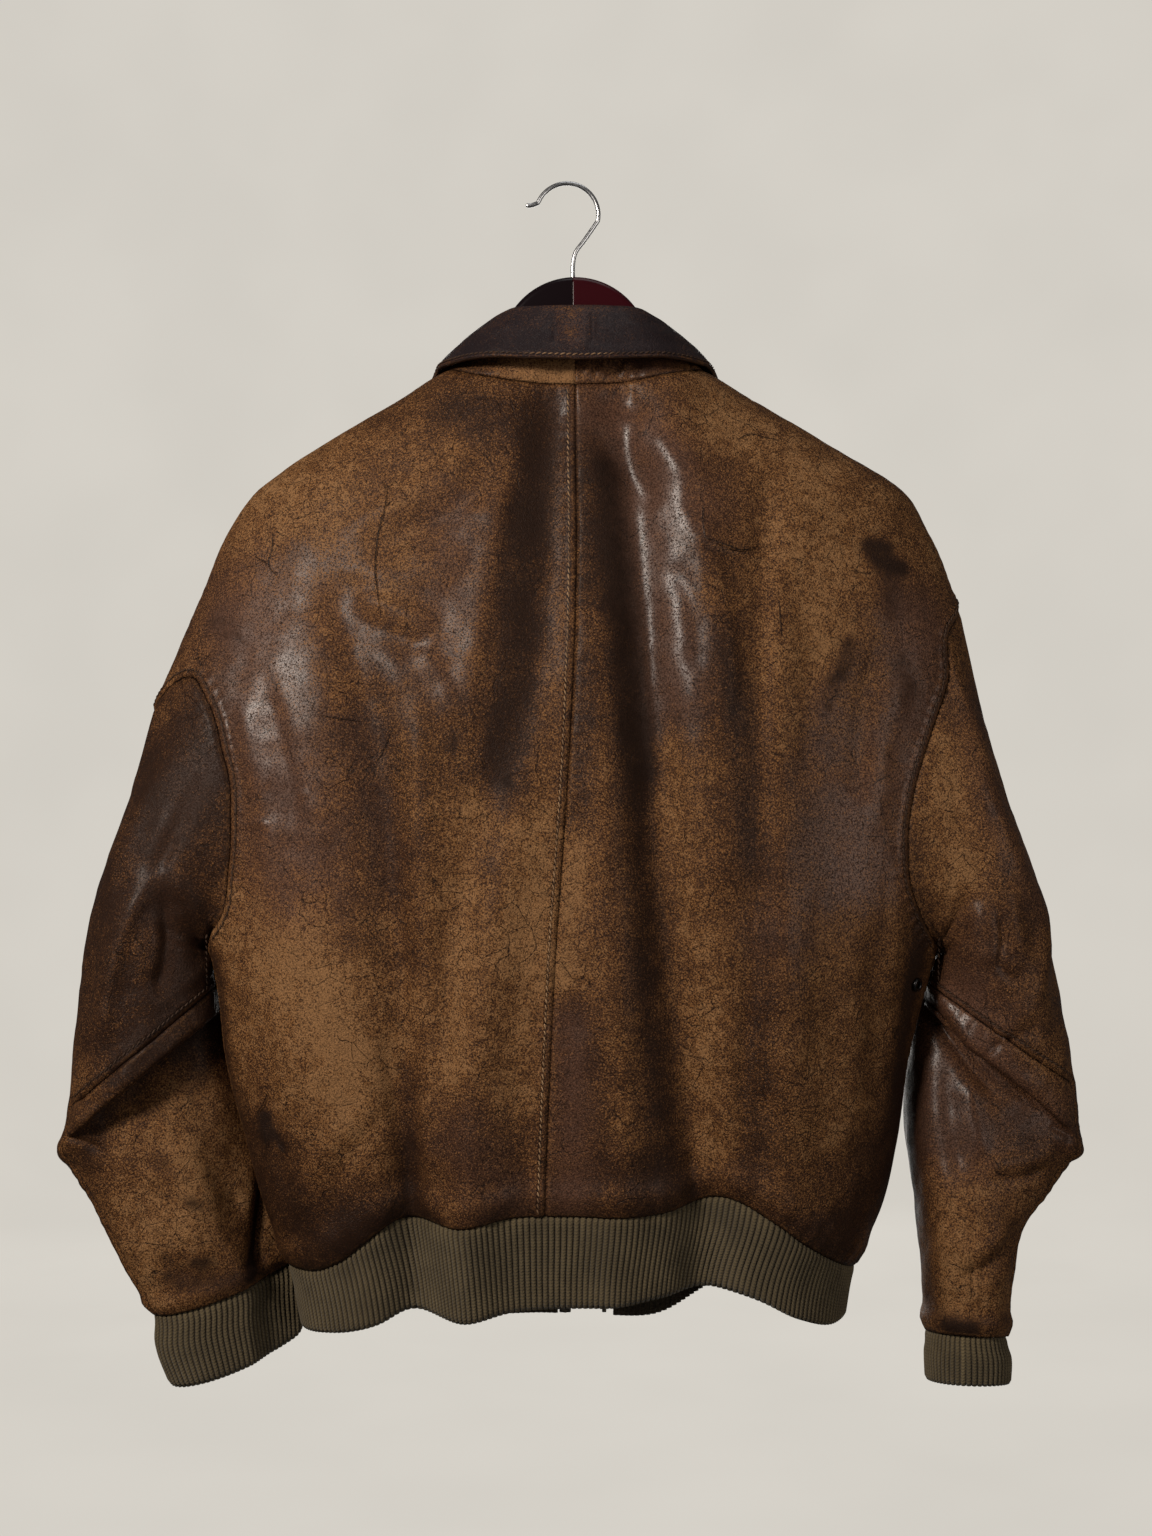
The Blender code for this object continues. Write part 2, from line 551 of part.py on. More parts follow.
def neck_places():
    """Places round half of the neck, counted in stations, one for each column of the panels."""
    back_half = np.linspace(0, NECK_POINT, BACK_NECK_CELLS + 1)
    front_half = np.linspace(NECK_POINT, len(COLLAR_STATIONS) - 1, FRONT_NECK_CELLS + 1)
    return np.concatenate([back_half, front_half[1:]])


def stand_surface():
    """The collar's stand, from the left front edge round the back to the right one. At the neck seam its
    normals are shared with the body."""
    half = neck_places()
    halves = []
    for side, sign in (("left", -1), ("right", 1)):
        route = neck_seam(side, half)
        foot, facing = torso(*route.T), torso_normal(*route.T)
        top = station("fold", half) * (sign, 1, 1) + (CENTRE_X, 0, -STAND_BELOW_FOLD)
        order = slice(None, None, sign)
        halves.append((foot[order], facing[order], top[order]))
    foot, facing, top = (np.concatenate([left, right[1:]]) for left, right in zip(*halves))
    parts = np.array([1, 0.7, 0.35, 0])[:, None, None]
    points = top[None] * parts + foot[None] * (1 - parts)
    normals = grid_normals(points)
    normals[-1] = unit(normals[-1] + facing)
    return points, normals


def body_panel(side, front):
    """One of the four leather panels of the body, with the angles of its lower edge."""
    cells = FRONT_CELLS if front else BACK_CELLS
    grid = panel_grid(side, front, cells)
    points = torso(grid[..., 0], grid[..., 1])
    normals = torso_normal(grid[..., 0], grid[..., 1])
    _, armhole, _ = sleeve_surface(side)
    armhole = armhole[0]
    if front:
        armhole = np.concatenate([armhole[SLEEVE_BACK_CELLS:], armhole[:1]])[::-1]
    normals[: cells[2] + 1, -1] = armhole[: cells[2] + 1]
    neck = stand_surface()[1][-1]
    middle = FRONT_NECK_CELLS + BACK_NECK_CELLS
    away = neck[middle::-1] if side == "left" else neck[middle:]
    normals[0, : cells[0] + 1] = away[: cells[0] + 1] if not front else away[::-1][: cells[0] + 1]
    wall(f"{'front' if front else 'back'}_{side}", points, normals, LEATHER, "leather")
    return grid[-1, :, 0]


def sleeve(side):
    """The two pieces of a sleeve, split along its lengthwise seams, and the ribbed cuff below them."""
    points, normals, rows = sleeve_surface(side)
    around = np.arange(SLEEVE_BACK_CELLS + SLEEVE_FRONT_CELLS)[None, :]
    down = rows[:-1, None]
    elbow = round(ELBOW_SEAM * SLEEVE_BACK_CELLS)
    front = SLEEVE_BACK_CELLS + round((1 - FRONT_SEAM) * SLEEVE_FRONT_CELLS)
    start = np.where(down < SEAM_RING, SLEEVE_BACK_CELLS - 1, elbow)
    under = (around >= start) & (around < front)
    leather = down < WRIST_RING
    wall(f"sleeve_{side}_top", points, normals, LEATHER, "sleeve_leather", ~under & leather, True)
    wall(f"sleeve_{side}_under", points, normals, LEATHER, "leather", under & leather, True)
    wall(f"cuff_{side}", points, normals, KNIT, "knit", ~leather & (around >= 0), True)


def waistband(lower_edges):
    """The knitted band, from one front edge round the back to the other, column for column with the
    lower edges of the panels."""
    shares = np.linspace(0, 1, 3)[:, None]
    left_front, left_back, right_back, right_front = lower_edges
    turns = np.concatenate([left_front, left_back[::-1][1:], right_back[1:], right_front[::-1][1:]])
    zs = hem_z(turns)[None] + (band_z(turns) - hem_z(turns))[None] * shares
    angles = np.broadcast_to(turns, zs.shape)
    wall("waistband", torso(angles, zs), torso_normal(angles, zs), KNIT, "knit")


def collar():
    """The stand in two halves, and the turned-down leaf that is sewn to its upper edge."""
    points, normals = stand_surface()
    left = np.arange(points.shape[1] - 1)[None, :] < FRONT_NECK_CELLS + BACK_NECK_CELLS
    left = np.broadcast_to(left, (points.shape[0] - 1, left.shape[1]))
    wall("collar_stand_left", points, normals, LEATHER, "leather", left)
    wall("collar_stand_right", points, normals, LEATHER, "leather", ~left)
    half = neck_places()
    edge = np.concatenate([(station("edge", half) * (-1, 1, 1))[::-1], station("edge", half)[1:]]) + (CENTRE_X, 0, 0)
    fold = points[0] + unit(points[0] - points[1]) * FOLD_HIGH
    over = fold + normals[0] * FOLD_WIDE
    leaf = np.stack([
        points[0],
        fold + normals[0] * 0.2 * FOLD_WIDE,
        over,
        (over + edge) / 2 + unit(normals[0] + (0, 0, 1)) * LEAF_BULGE,
        edge,
    ])
    leaf_normals = grid_normals(leaf)
    leaf_normals[0] = -normals[0]
    wall("collar", leaf, leaf_normals, COLLAR, "collar_leather")


def hanger():
    """The wooden hanger: a dome in the neck and two arms under the shoulders, with rounded edges."""
    thing = plate("hanger_wood", (hanger_outline(),), HANGER_THICK, "wood")
    thing.location = (0, HANGER_Y * MM, 0)
    rounding = thing.modifiers.new("rounded edges", "BEVEL")
    rounding.width = HANGER_ROUNDING * MM
    rounding.segments = 3
    rounding.limit_method = "ANGLE"
    rounding.angle_limit = math.radians(60)


def arm_top(side, z):
    """Points along the top of an arm, just under the shoulder's leather."""
    ridge = np.stack([level(side, z), z], axis=-1)
    along = unit(np.gradient(ridge, axis=0))
    inward = np.stack([along[:, 1], -along[:, 0]], axis=-1) * (1 if side == "right" else -1)
    return ridge + inward * (LEATHER / 2 + HANGER_CLEARANCE)


def hanger_outline():
    """The hanger's outline in the XZ plane, clockwise from the foot of the dome's left side."""
    zs = np.linspace(ARM_INNER_Z, ARM_OUTER_Z, 9)
    right, left = arm_top("right", zs), arm_top("left", zs)[::-1]
    turn = np.radians(np.linspace(173, 7, 17))
    dome_z = DOME_TOP_Z - DOME_RADIUS
    dome = np.stack([CENTRE_X + DOME_RADIUS * np.cos(turn), dome_z + DOME_RADIUS * np.sin(turn)], axis=-1)
    below = []
    for arm, sign in ((right, 1), (left[::-1], -1)):
        tip = arm[-1] + np.array([-sign * 3, -HANGER_TIP_RADIUS])
        angles = np.radians(np.array([60, 25, -10, -45, -80]))
        cap = tip + HANGER_TIP_RADIUS * np.stack([sign * np.cos(angles), np.sin(angles)], axis=-1)
        middle = np.array([CENTRE_X + sign * 62, HANGER_LOWER_Z - 8])
        below.append(np.concatenate([cap, through([cap[-1], (cap[-1] + middle) / 2 + (0, 3), middle],
                                                  [0.25, 0.5, 0.75, 1.0])]))
    centre = np.array([[CENTRE_X, HANGER_LOWER_Z]])
    return np.concatenate([dome, right[1:], below[0], centre, below[1][::-1], left[:-1]])


def hook():
    """The hook's wire: a round bend over the origin, a lip at its free end and a shank into the dome."""
    turn = np.radians(np.linspace(158, -12, 20))
    centre_z = HOOK_WIRE / 2 - HOOK_RADIUS
    bend = np.stack([HOOK_RADIUS * np.cos(turn), centre_z + HOOK_RADIUS * np.sin(turn)], axis=-1)
    lip = through([(-28.0, -13.6), (-24.2, -13.4), bend[0]], [0, 0.35, 0.7])
    foot = (HOOK_SHANK_X, DOME_TOP_Z + SEAM_GAP)
    shank = through([bend[-1], (17.2, -29.5), (11.6, -37.5), (5.6, -46), (HOOK_SHANK_X, -54), foot],
                    np.linspace(0, 1, 11))
    route = np.concatenate([lip, bend, shank[1:]])
    wire = bpy.data.curves.new("hanger_hook", "CURVE")
    wire.dimensions = "3D"
    wire.bevel_depth = HOOK_WIRE / 2 * MM
    wire.bevel_resolution = 2
    wire.use_fill_caps = True
    line = wire.splines.new("POLY")
    line.points.add(len(route) - 1)
    for point, (x, z) in zip(line.points, route):
        point.co = (x * MM, 0, z * MM, 1)
    place_object("hanger_hook", wire, "steel")


def eyelet():
    """The vent eyelet under the right arm, a metal ring on the leather."""
    x, z = EYELET_PLACE
    angle = angle_of(x, z)
    facing = Vector(torso_normal(angle, z))
    centre = Vector(torso(angle, z)) + facing * (LEATHER / 2 + SEAM_GAP + EYELET_WIRE / 2)
    bpy.ops.mesh.primitive_torus_add(
        major_segments=20, minor_segments=8, major_radius=(EYELET_DIAMETER - EYELET_WIRE) / 2 * MM,
        minor_radius=EYELET_WIRE / 2 * MM,
    )
    ring = bpy.context.object
    ring.name = "eyelet_right"
    ring.matrix_world = Matrix.Translation(centre * MM) @ facing.to_track_quat("Z", "Y").to_matrix().to_4x4()
    into_jacket(ring, "zip_metal")


def front_edge(side, z):
    """Points down the edge of a front, and of the band below it."""
    on_leather = np.maximum(z, FRONT_HEM_Z)
    return torso(angle_of(front_edge_x(side, on_leather), on_leather, True), z)


def zip_chain(side, end_z):
    """One row of teeth with its tape, along the edge of a front."""
    inward = 1 if side == "left" else -1
    on_leather = np.linspace(COLLAR_STATIONS[-1].seam[1] - 2, FRONT_HEM_Z, 11)
    edge = front_edge(side, np.concatenate([on_leather, np.linspace(FRONT_HEM_Z, end_z, 3)[1:]]))
    edge = edge + (inward * SEAM_GAP, 0, 0)
    points = np.stack([edge, edge + (inward * CHAIN_WIDTH, 0, 0)], axis=1)
    normals = np.zeros_like(points)
    normals[..., 1] = 1
    wall(f"zip_{side}", points, normals, CHAIN_THICK, "zip_metal", edge_gap=0)


def beside_edge(side, z, width):
    """Where the middle of a piece so wide sits, beside the edge of a front at height z."""
    return front_edge(side, z) + ((1 if side == "left" else -1) * (SEAM_GAP + width / 2), 0, 0)


def block(name, centre, size, rounding):
    """A box with rounded edges."""
    bpy.ops.mesh.primitive_cube_add(size=1)
    thing = bpy.context.object
    thing.name = name
    thing.data.transform(Matrix.Diagonal((*np.multiply(size, MM), 1)))
    thing.location = Vector(centre) * MM
    edge = thing.modifiers.new("rounded edges", "BEVEL")
    edge.width = rounding * MM
    edge.segments = 2
    return thing


def zip_ends():
    """The box, slider and pull on the left chain, and the pin that ends the right one."""
    wide, thick, high = SLIDER_SIZE
    x, y, _ = beside_edge("left", CHAIN_END_LEFT, wide + SEAM_GAP)
    slider_z = CHAIN_END_LEFT - SEAM_GAP - high / 2
    slider = block("zip_slider", (x, y, slider_z), SLIDER_SIZE, 1.2)
    bpy.ops.mesh.primitive_torus_add(
        major_segments=20, minor_segments=8, major_radius=BRIDGE_RADIUS * MM, minor_radius=BRIDGE_WIRE * MM,
        location=Vector((x, y + thick / 2, slider_z)) * MM, rotation=(0, math.pi / 2, 0),
    )
    bridge = bpy.context.object
    bridge.name = "bridge_of_slider"
    bridge.hide_render = True
    bridge.display_type = "WIRE"
    move_to(bridge, helpers)
    joint = slider.modifiers.new("bridge", "BOOLEAN")
    joint.operation = "UNION"
    joint.object = bridge
    into_jacket(slider, "zip_metal")
    box_top, box_high = slider_z - high / 2 - SEAM_GAP, slider_z - high / 2 - SEAM_GAP - ZIP_END
    box = block("zip_box", (x, y, box_top - box_high / 2), (*BOX_SIZE, box_high), 0.8)
    into_jacket(box, "zip_metal")
    x_pin, y_pin, _ = beside_edge("right", CHAIN_END_RIGHT, 2 * CHAIN_WIDTH - PIN_SIZE[0])
    pin_high = CHAIN_END_RIGHT - SEAM_GAP - ZIP_END
    pin = block("zip_pin", (x_pin, y_pin, ZIP_END + pin_high / 2), (*PIN_SIZE, pin_high), 0.6)
    into_jacket(pin, "zip_metal")
    pull((x, y + thick / 2 + PULL_STAND_OFF, slider_z))


def pull(axis):
    """The pull, a plate with a window that hangs from the slider's bridge. Its origin is on its hinge."""
    wide, high, thick = PULL_SIZE
    top, bottom = PULL_BAR / 2, PULL_BAR / 2 - high
    turn = np.linspace(0, math.pi, 9)
    round_end = [(math.cos(a) * wide / 2, bottom + wide / 2 - math.sin(a) * wide / 2) for a in turn]
    outline = [(-wide / 2, top), (wide / 2, top), *round_end]
    half = PULL_WINDOW[0] / 2
    window = [(-half, -top), (half, -top), (half, -PULL_WINDOW[1]), (-half, -PULL_WINDOW[1])]
    flat = plate("zip_pull", (outline, window), thick, "zip_metal")
    flat.location = Vector(axis) * MM


def plate(name, outlines, thick, material):
    """A flat piece in the XZ plane, from an outline and its holes, in (x, z)."""
    flat = bpy.data.curves.new(name, "CURVE")
    flat.dimensions = "2D"
    flat.fill_mode = "BOTH"
    flat.extrude = thick / 2 * MM
    for outline in outlines:
        line = flat.splines.new("POLY")
        line.points.add(len(outline) - 1)
        for point, (x, z) in zip(line.points, outline):
            point.co = (x * MM, z * MM, 0, 1)
        line.use_cyclic_u = True
    thing = place_object(name, flat, material)
    thing.rotation_euler = (math.pi / 2, 0, 0)
    weld = thing.modifiers.new("close caps", "WELD")
    weld.merge_threshold = 0.0001
    return thing


def move_to(thing, collection):
    for home in list(thing.users_collection):
        home.objects.unlink(thing)
    collection.objects.link(thing)


def into_jacket(thing, material):
    """Moves a primitive into the jacket's collection and gives it its material."""
    move_to(thing, jacket)
    thing.data.materials.append(make_material(thing.name, *MATERIALS[material]))


def build():
    """Every piece of the jacket, then its hanger."""
    order = (("left", True), ("left", False), ("right", False), ("right", True))
    waistband([body_panel(side, front) for side, front in order])
    for side in ("left", "right"):
        sleeve(side)
    collar()
    zip_chain("left", CHAIN_END_LEFT)
    zip_chain("right", CHAIN_END_RIGHT)
    zip_ends()
    eyelet()
    hanger()
    hook()


for thing in list(bpy.data.objects):
    bpy.data.objects.remove(thing)
jacket = bpy.data.collections.new("leather_jacket")
bpy.context.scene.collection.children.link(jacket)
helpers = bpy.data.collections.new("helpers")
bpy.context.scene.collection.children.link(helpers)
build()
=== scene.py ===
"""A worn leather flight jacket with knitted trim, hung unzipped on a wooden hanger: the looks of every piece,
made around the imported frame.

Frame: +Z up, -Y is the jacket's back, +Y is its front, and the origin is the inner top of the hanger's hook.
Tables and form functions are in millimetres, and MM turns them into metres when a mesh is made. Left and
right are those of somebody who looks at the jacket's back.
"""

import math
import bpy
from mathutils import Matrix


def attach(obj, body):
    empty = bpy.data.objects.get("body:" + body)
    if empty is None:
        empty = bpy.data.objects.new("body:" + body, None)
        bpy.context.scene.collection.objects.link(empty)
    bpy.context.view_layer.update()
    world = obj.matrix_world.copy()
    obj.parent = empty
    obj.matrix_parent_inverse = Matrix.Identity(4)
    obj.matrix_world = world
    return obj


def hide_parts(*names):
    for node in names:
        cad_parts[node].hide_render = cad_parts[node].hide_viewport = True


bl_info = {
    "name": "Worn Leather Jacket",
    "version": (1, 0, 0),
    "blender": (4, 5, 0),
    "location": "3D View > Sidebar > Jacket",
    "description": "Makes a worn leather jacket with knitted trim on its hanger",
    "category": "Add Mesh",
}

from collections import namedtuple

import bmesh
import bpy
import numpy as np
from bpy.props import FloatProperty, FloatVectorProperty, PointerProperty
from mathutils import Vector, noise
from mathutils.bvhtree import BVHTree
from mathutils.kdtree import KDTree

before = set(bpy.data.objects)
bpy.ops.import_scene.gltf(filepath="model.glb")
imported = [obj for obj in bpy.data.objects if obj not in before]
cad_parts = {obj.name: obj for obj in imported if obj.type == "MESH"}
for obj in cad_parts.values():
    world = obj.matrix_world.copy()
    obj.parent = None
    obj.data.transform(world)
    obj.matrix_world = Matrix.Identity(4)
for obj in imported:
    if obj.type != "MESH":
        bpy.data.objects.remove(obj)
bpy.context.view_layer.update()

MM = 0.001

MADE = {}  # materials and node trees, by name
SEWN = []  # rows of stitches, as (points, normals) on the leather's outer side
LEATHERS = []  # the finished leather pieces, for what lies on them

SIDES = ("left", "right")
SIGN = {"left": -1, "right": 1}


def table(kind, rows):
    """Rows of plain values as named tuples of one kind."""
    return [kind(*row) for row in rows]


# ---- the body ------------------------------------------------------------------------------------------
# One row for each level: how far the body reaches to the left and right, the depth of its two turned
# sides, and the depth of the back and of the front halfway between them.
Level = namedtuple("Level", "z left right side_left side_right back front")
LEVELS = table(Level, (
    (-112, -52, 63, 0, 0, -34, 14),
    (-128, -82, 93, 0, 0, -42, 17),
    (-146, -111, 123, 0, 0, -47, 19),
    (-177, -163, 175, 0, 0, -56, 21),
    (-209, -209, 227, 0, 0, -64, 23),
    (-237, -229, 244, 0, 0, -70, 25),
    (-275, -245, 260, 0, -2, -77, 26),
    (-316, -262, 270, -2, -4, -84, 26),
    (-362, -279, 270, -4, -6, -89, 26),
    (-417, -266, 266, -12, -10, -94, 26),
    (-480, -247, 257, -22, -16, -97, 26),
    (-540, -232, 241, -28, -14, -98, 26),
    (-590, -226, 229, -27, -11, -96, 27),
    (-640, -214, 222.5, -24, -8, -92, 28),
    (-690, -201, 212, -18, -5, -84, 29),
    (-730, -187, 195, -11, -2, -77, 30),
    (-780, -177, 186, -8, -2, -73, 30),
))
BACK_POWER = 2.15  # 2 is an ellipse, and more is squarer
FRONT_POWER = 2.6

# Soft upright folds of the back and the front. A route is (x, z) from top to bottom; rise is how far the
# leather stands out of the smooth body at its two ends, and a hollow has a negative rise.
Fold = namedtuple("Fold", "name route width rise_top rise_end")
BACK_FOLDS = table(Fold, (
    ("left broad roll", ((-172, -330), (-165, -600), (-143, -790)), 34, 3, 8),
    ("left hollow", ((-142, -290), (-118, -415), (-108, -520), (-101, -650), (-100, -790)), 15, -4, -15),
    ("left narrow roll", ((-94, -380), (-92, -500), (-88, -640)), 12, 4, 4),
    ("inner left hollow", ((-10, -170), (-22, -330), (-50, -430), (-74, -540), (-82, -660)), 17, -8, -5),
    ("left of centre roll", ((-32, -330), (-44, -450), (-60, -593), (-63, -790)), 19, 3, 17),
    ("right of centre roll", ((20, -320), (26, -430), (33, -600), (33, -790)), 17, 4, 9),
    ("deep right hollow", ((36, -165), (55, -370), (62, -460), (75, -570), (87, -690), (88, -790)),
     18, -11, -17),
    ("bright right roll", ((66, -150), (89, -250), (94, -350), (102, -450)), 24, 9, 5),
    ("outer right hollow", ((130, -230), (124, -400), (121, -480), (122, -650)), 11, -5, -3),
    ("outer right roll", ((134, -250), (138, -420), (142, -600), (143, -790)), 24, 3, 14),
    ("right broad roll", ((190, -430), (184, -620), (172, -790)), 22, 3, 6),
))
FRONT_FOLDS = table(Fold, (
    ("left front roll", ((-118, -260), (-105, -520), (-92, -790)), 26, 4, 8),
    ("left front hollow", ((-70, -250), (-58, -520), (-48, -790)), 18, -3, -6),
    ("right front hollow", ((84, -250), (72, -520), (62, -790)), 20, -3, -7),
    ("right front roll", ((132, -260), (121, -520), (110, -790)), 26, 4, 8),
))
FOLD_FADE = 45.0  # length over which a fold dies away at each end
FOLD_EDGE_FADE = 24.0  # degrees over which folds die away towards the turned sides

# Where the panels are cut. Each route is (x, z) on the body's surface.
CENTRE_BACK = ((5.5, -143), (6, -288), (1, -403), (-6, -505), (-11, -606), (-14, -700), (-14, -790))
ARMHOLE_TOP_Z = {"left": -362, "right": -285}
UNDERARM_Z = {"left": -512, "right": -520}
ARMHOLE_BACK = {
    "left": ((-247, -336), (-234, -354), (-222, -391), (-218, -425), (-220, -462), (-227, -495)),
    "right": ((254, -305), (252, -338), (240, -371), (227, -410), (222, -448), (225, -476), (236, -500)),
}
ARMHOLE_FRONT = {
    "left": ((-252, -372), (-228, -396), (-212, -430), (-208, -462), (-216, -492)),
    "right": ((246, -330), (226, -370), (214, -410), (211, -448), (222, -490)),
}
SIDE_SEAM = 84.0  # degrees round from the centre back, below the underarm

# Lower edge of the leather and of the knitted band, (x, z), across the back and across the front.
BACK_HEM = (
    (-190, -728), (-163, -725), (-142, -716), (-124, -704), (-100, -689), (-62, -690), (-30, -684),
    (10, -683), (55, -681), (87, -673), (116, -687), (144, -705), (170, -719), (196, -731),
)
BAND_END = (
    (-182, -771), (-165, -768), (-141, -764), (-118, -758), (-100, -751), (-61, -752), (-30, -747),
    (21, -743), (52, -739), (88, -735), (118, -741), (150, -755), (172, -763), (190, -765),
)
FRONT_HEM = ((-190, -728), (-100, -720), (-12, -716), (40, -716), (92, -697), (140, -706), (196, -731))
FRONT_BAND_END = ((-182, -771), (-100, -770), (-12, -773), (40, -773), (92, -751), (140, -762), (190, -765))
FRONT_HEM_Z = -716.0  # at the front edges
# ---- the sleeves ---------------------------------------------------------------------------------------
# One row for each ring after the armhole: its outer and inner ends (x, y, z), how far its back and its
# front stand off the line between them, how much its back hangs below or above that line, how far it is
# set in and up under the fold that overhangs the elbow, and the depth of the fold that sets the inner
# third of the back further in.
Ring = namedtuple("Ring", "name outer inner back front sag under tuck", defaults=(0, 0, 0))
RINGS = {
    "left": table(Ring, (
        ("upper 1", (-298, -3, -430), (-241.2, -8, -514), 54, 30),
        ("upper 2", (-319, -5, -495), (-238.8, -5, -521), 58, 32),
        ("upper 3", (-329, -7, -570), (-236.5, -4, -529), 57, 32, -2),
        ("seam", (-333, -8, -622), (-233.6, -3, -539), 56, 32, -4),
        ("crest", (-338, -8, -641), (-231.3, -3, -555), 56, 34, -4),
        ("trough", (-341, -7, -649), (-229, 1, -553), 54, 28, -4, 23),
        ("below trough", (-341, -7, -655), (-227.5, 2, -567), 50, 28, -5, 18),
        ("elbow", (-335, -7, -663), (-224, 3, -594), 44, 29, -2, 5, 2),
        ("forearm 1", (-324, -8, -679), (-214.5, 6, -630), 42, 30, -2, 0, 5),
        ("forearm 2", (-310, -10, -702), (-205, 10, -664), 42, 30, -3, 0, 10),
        ("forearm 3", (-297, -12, -727), (-194, 14, -698), 40, 26, -5, 0, 14),
        ("wrist", (-278, -13, -757), (-184, 17, -727), 33, 20, -8, 0, 14),
        ("cuff middle", (-276, -13, -780), (-182, 16, -751), 33, 19, -8, 0, 12),
        ("cuff end", (-267, -13, -806), (-181, 15, -779), 29, 17, -8, 0, 11),
    )),
    "right": table(Ring, (
        ("upper 1", (287, -3, -390), (250, -4, -522), 54, 30),
        ("upper 2", (312, -5, -470), (247.8, -1, -526), 58, 32),
        ("upper 3", (331, -6, -550), (245.2, 1, -531), 56, 32, -2),
        ("seam", (340, -6, -606), (243, 2, -538), 52, 32, -4),
        ("crest", (344, -6, -636), (240, 3, -552), 50, 32, -4),
        ("trough", (346, -6, -647), (239.5, 6, -551), 48, 28, -4, 18),
        ("below trough", (346, -6, -654), (237, 5, -565), 46, 28, -5, 13),
        ("elbow", (337, -6, -662), (232.5, 4, -592), 43, 29, -2, 3),
        ("forearm 1", (322, -6, -681), (230.5, 1, -630), 44, 30, -2),
        ("forearm 2", (304, -7, -705), (234, -3, -668), 46, 31, -3),
        ("forearm 3", (299, -8, -733), (239, -6, -710), 46, 31, -4),
        ("wrist", (295, -8, -778), (243, -8, -775), 40, 27, 7),
        ("cuff middle", (298, -8, -794), (242, -8, -792), 40, 27, 7),
        ("cuff end", (298, -8, -810), (243, -8, -809), 37, 24, 6),
    )),
}
UNDER_START = 0.12  # the overhanging fold grows from here to there, counted from the outer end
UNDER_FULL = 0.6
UNDER_RISE = 0.45  # how far the leather under it is drawn up, for each millimetre that it is set in
TUCK_PLACE = 0.60  # how far round the back, from the outer end, the tucked third starts
TUCK_WIDTH = 0.10
TUCK_END = 0.75  # where it starts to come out again towards the inner end
SEAM_RING = 4  # counted from the armhole, the ring whose back the elbow's seam follows
WRIST_RING = 12

# ---- the collar ----------------------------------------------------------------------------------------
# One row for each station from the centre back round to the front edge: the neck seam on the body as
# (distance from the middle, z), and the fold line and the leaf's edge as (distance, y, z). Both halves of
# the neck use it.
Station = namedtuple("Station", "name seam fold edge")
COLLAR_STATIONS = table(Station, (
    ("centre back", (0, -143), (0, -35, -92), (0, -60, -129)),
    ("back", (24, -142), (24, -34, -92), (30, -58, -128)),
    ("back quarter", (46, -139), (42, -28, -93), (58, -50, -126)),
    ("behind shoulder", (70, -133.5), (62, -15, -103), (82, -29, -126)),
    ("shoulder", (87.5, -128), (74, 2, -113), (95, 3, -127)),
    ("front shoulder", (86, -147), (73, 17, -131), (103, 28, -149)),
    ("front", (68, -172), (57, 28, -156), (97, 38, -186)),
    ("point", (42, -191), (34, 33, -178), (78, 43, -224)),
    ("front edge", (21, -202), (20, 34, -192), (31, 41, -212)),
))
NECK_POINT = 4  # the station on the shoulder
STAND_BELOW_FOLD = 3.5
FOLD_HIGH = 3.2  # how far the leaf rises over the stand, and reaches out, where it turns down
FOLD_WIDE = 4.4
LEAF_BULGE = 2.0
# ---- curves and tables ---------------------------------------------------------------------------------
def lengths(line):
    """How far along a line each of its points is."""
    return np.concatenate([[0], np.cumsum(np.linalg.norm(np.diff(line, axis=0), axis=-1))])


def through(points, at):
    """A smooth curve through points, read at the shares `at` of its length."""
    points = np.asarray(points, float)
    length = lengths(points)
    return smooth(length / length[-1], points, at)


def smooth(knots, values, at):
    """A cubic through values at rising knots, flat past its ends."""
    knots = np.asarray(knots, float)
    values = np.asarray(values, float)
    at = np.clip(np.asarray(at, float), knots[0], knots[-1])
    slope = np.gradient(values, knots, axis=0)
    low = np.clip(np.searchsorted(knots, at, "right") - 1, 0, len(knots) - 2)
    span = knots[low + 1] - knots[low]
    part = (at - knots[low]) / span
    extra = (1,) * (values.ndim - 1)
    part, span = part.reshape(part.shape + extra), span.reshape(span.shape + extra)
    start = values[low] * (1 + 2 * part) + slope[low] * span * part
    end = values[low + 1] * (3 - 2 * part) - slope[low + 1] * span * (1 - part)
    return start * (1 - part) ** 2 + end * part**2


def step(low, high, value):
    """0 below low, 1 above high, smooth between."""
    part = np.clip((np.asarray(value, float) - low) / (high - low), 0, 1)
    return part * part * (3 - 2 * part)


def level(name, z):
    rows = LEVELS[::-1]
    return smooth([row.z for row in rows], [getattr(row, name) for row in rows], z)


# ---- the body's surface --------------------------------------------------------------------------------
def folds_at(folds, x, z):
    """How far the folds lift the surface at (x, z)."""
    lift = np.zeros(np.broadcast(x, z).shape)
    for fold in folds:
        route = np.array(fold.route[::-1], float)
        top, end = route[-1, 1], route[0, 1]
        middle = smooth(route[:, 1], route[:, 0], z)
        rise = fold.rise_top + (fold.rise_end - fold.rise_top) * np.clip((top - z) / (top - end), 0, 1)
        fade = step(end - FOLD_FADE, end, z) * (1 - step(top, top + FOLD_FADE, z))
        lift += rise * fade * np.exp(-(((x - middle) / fold.width) ** 2))
    return lift


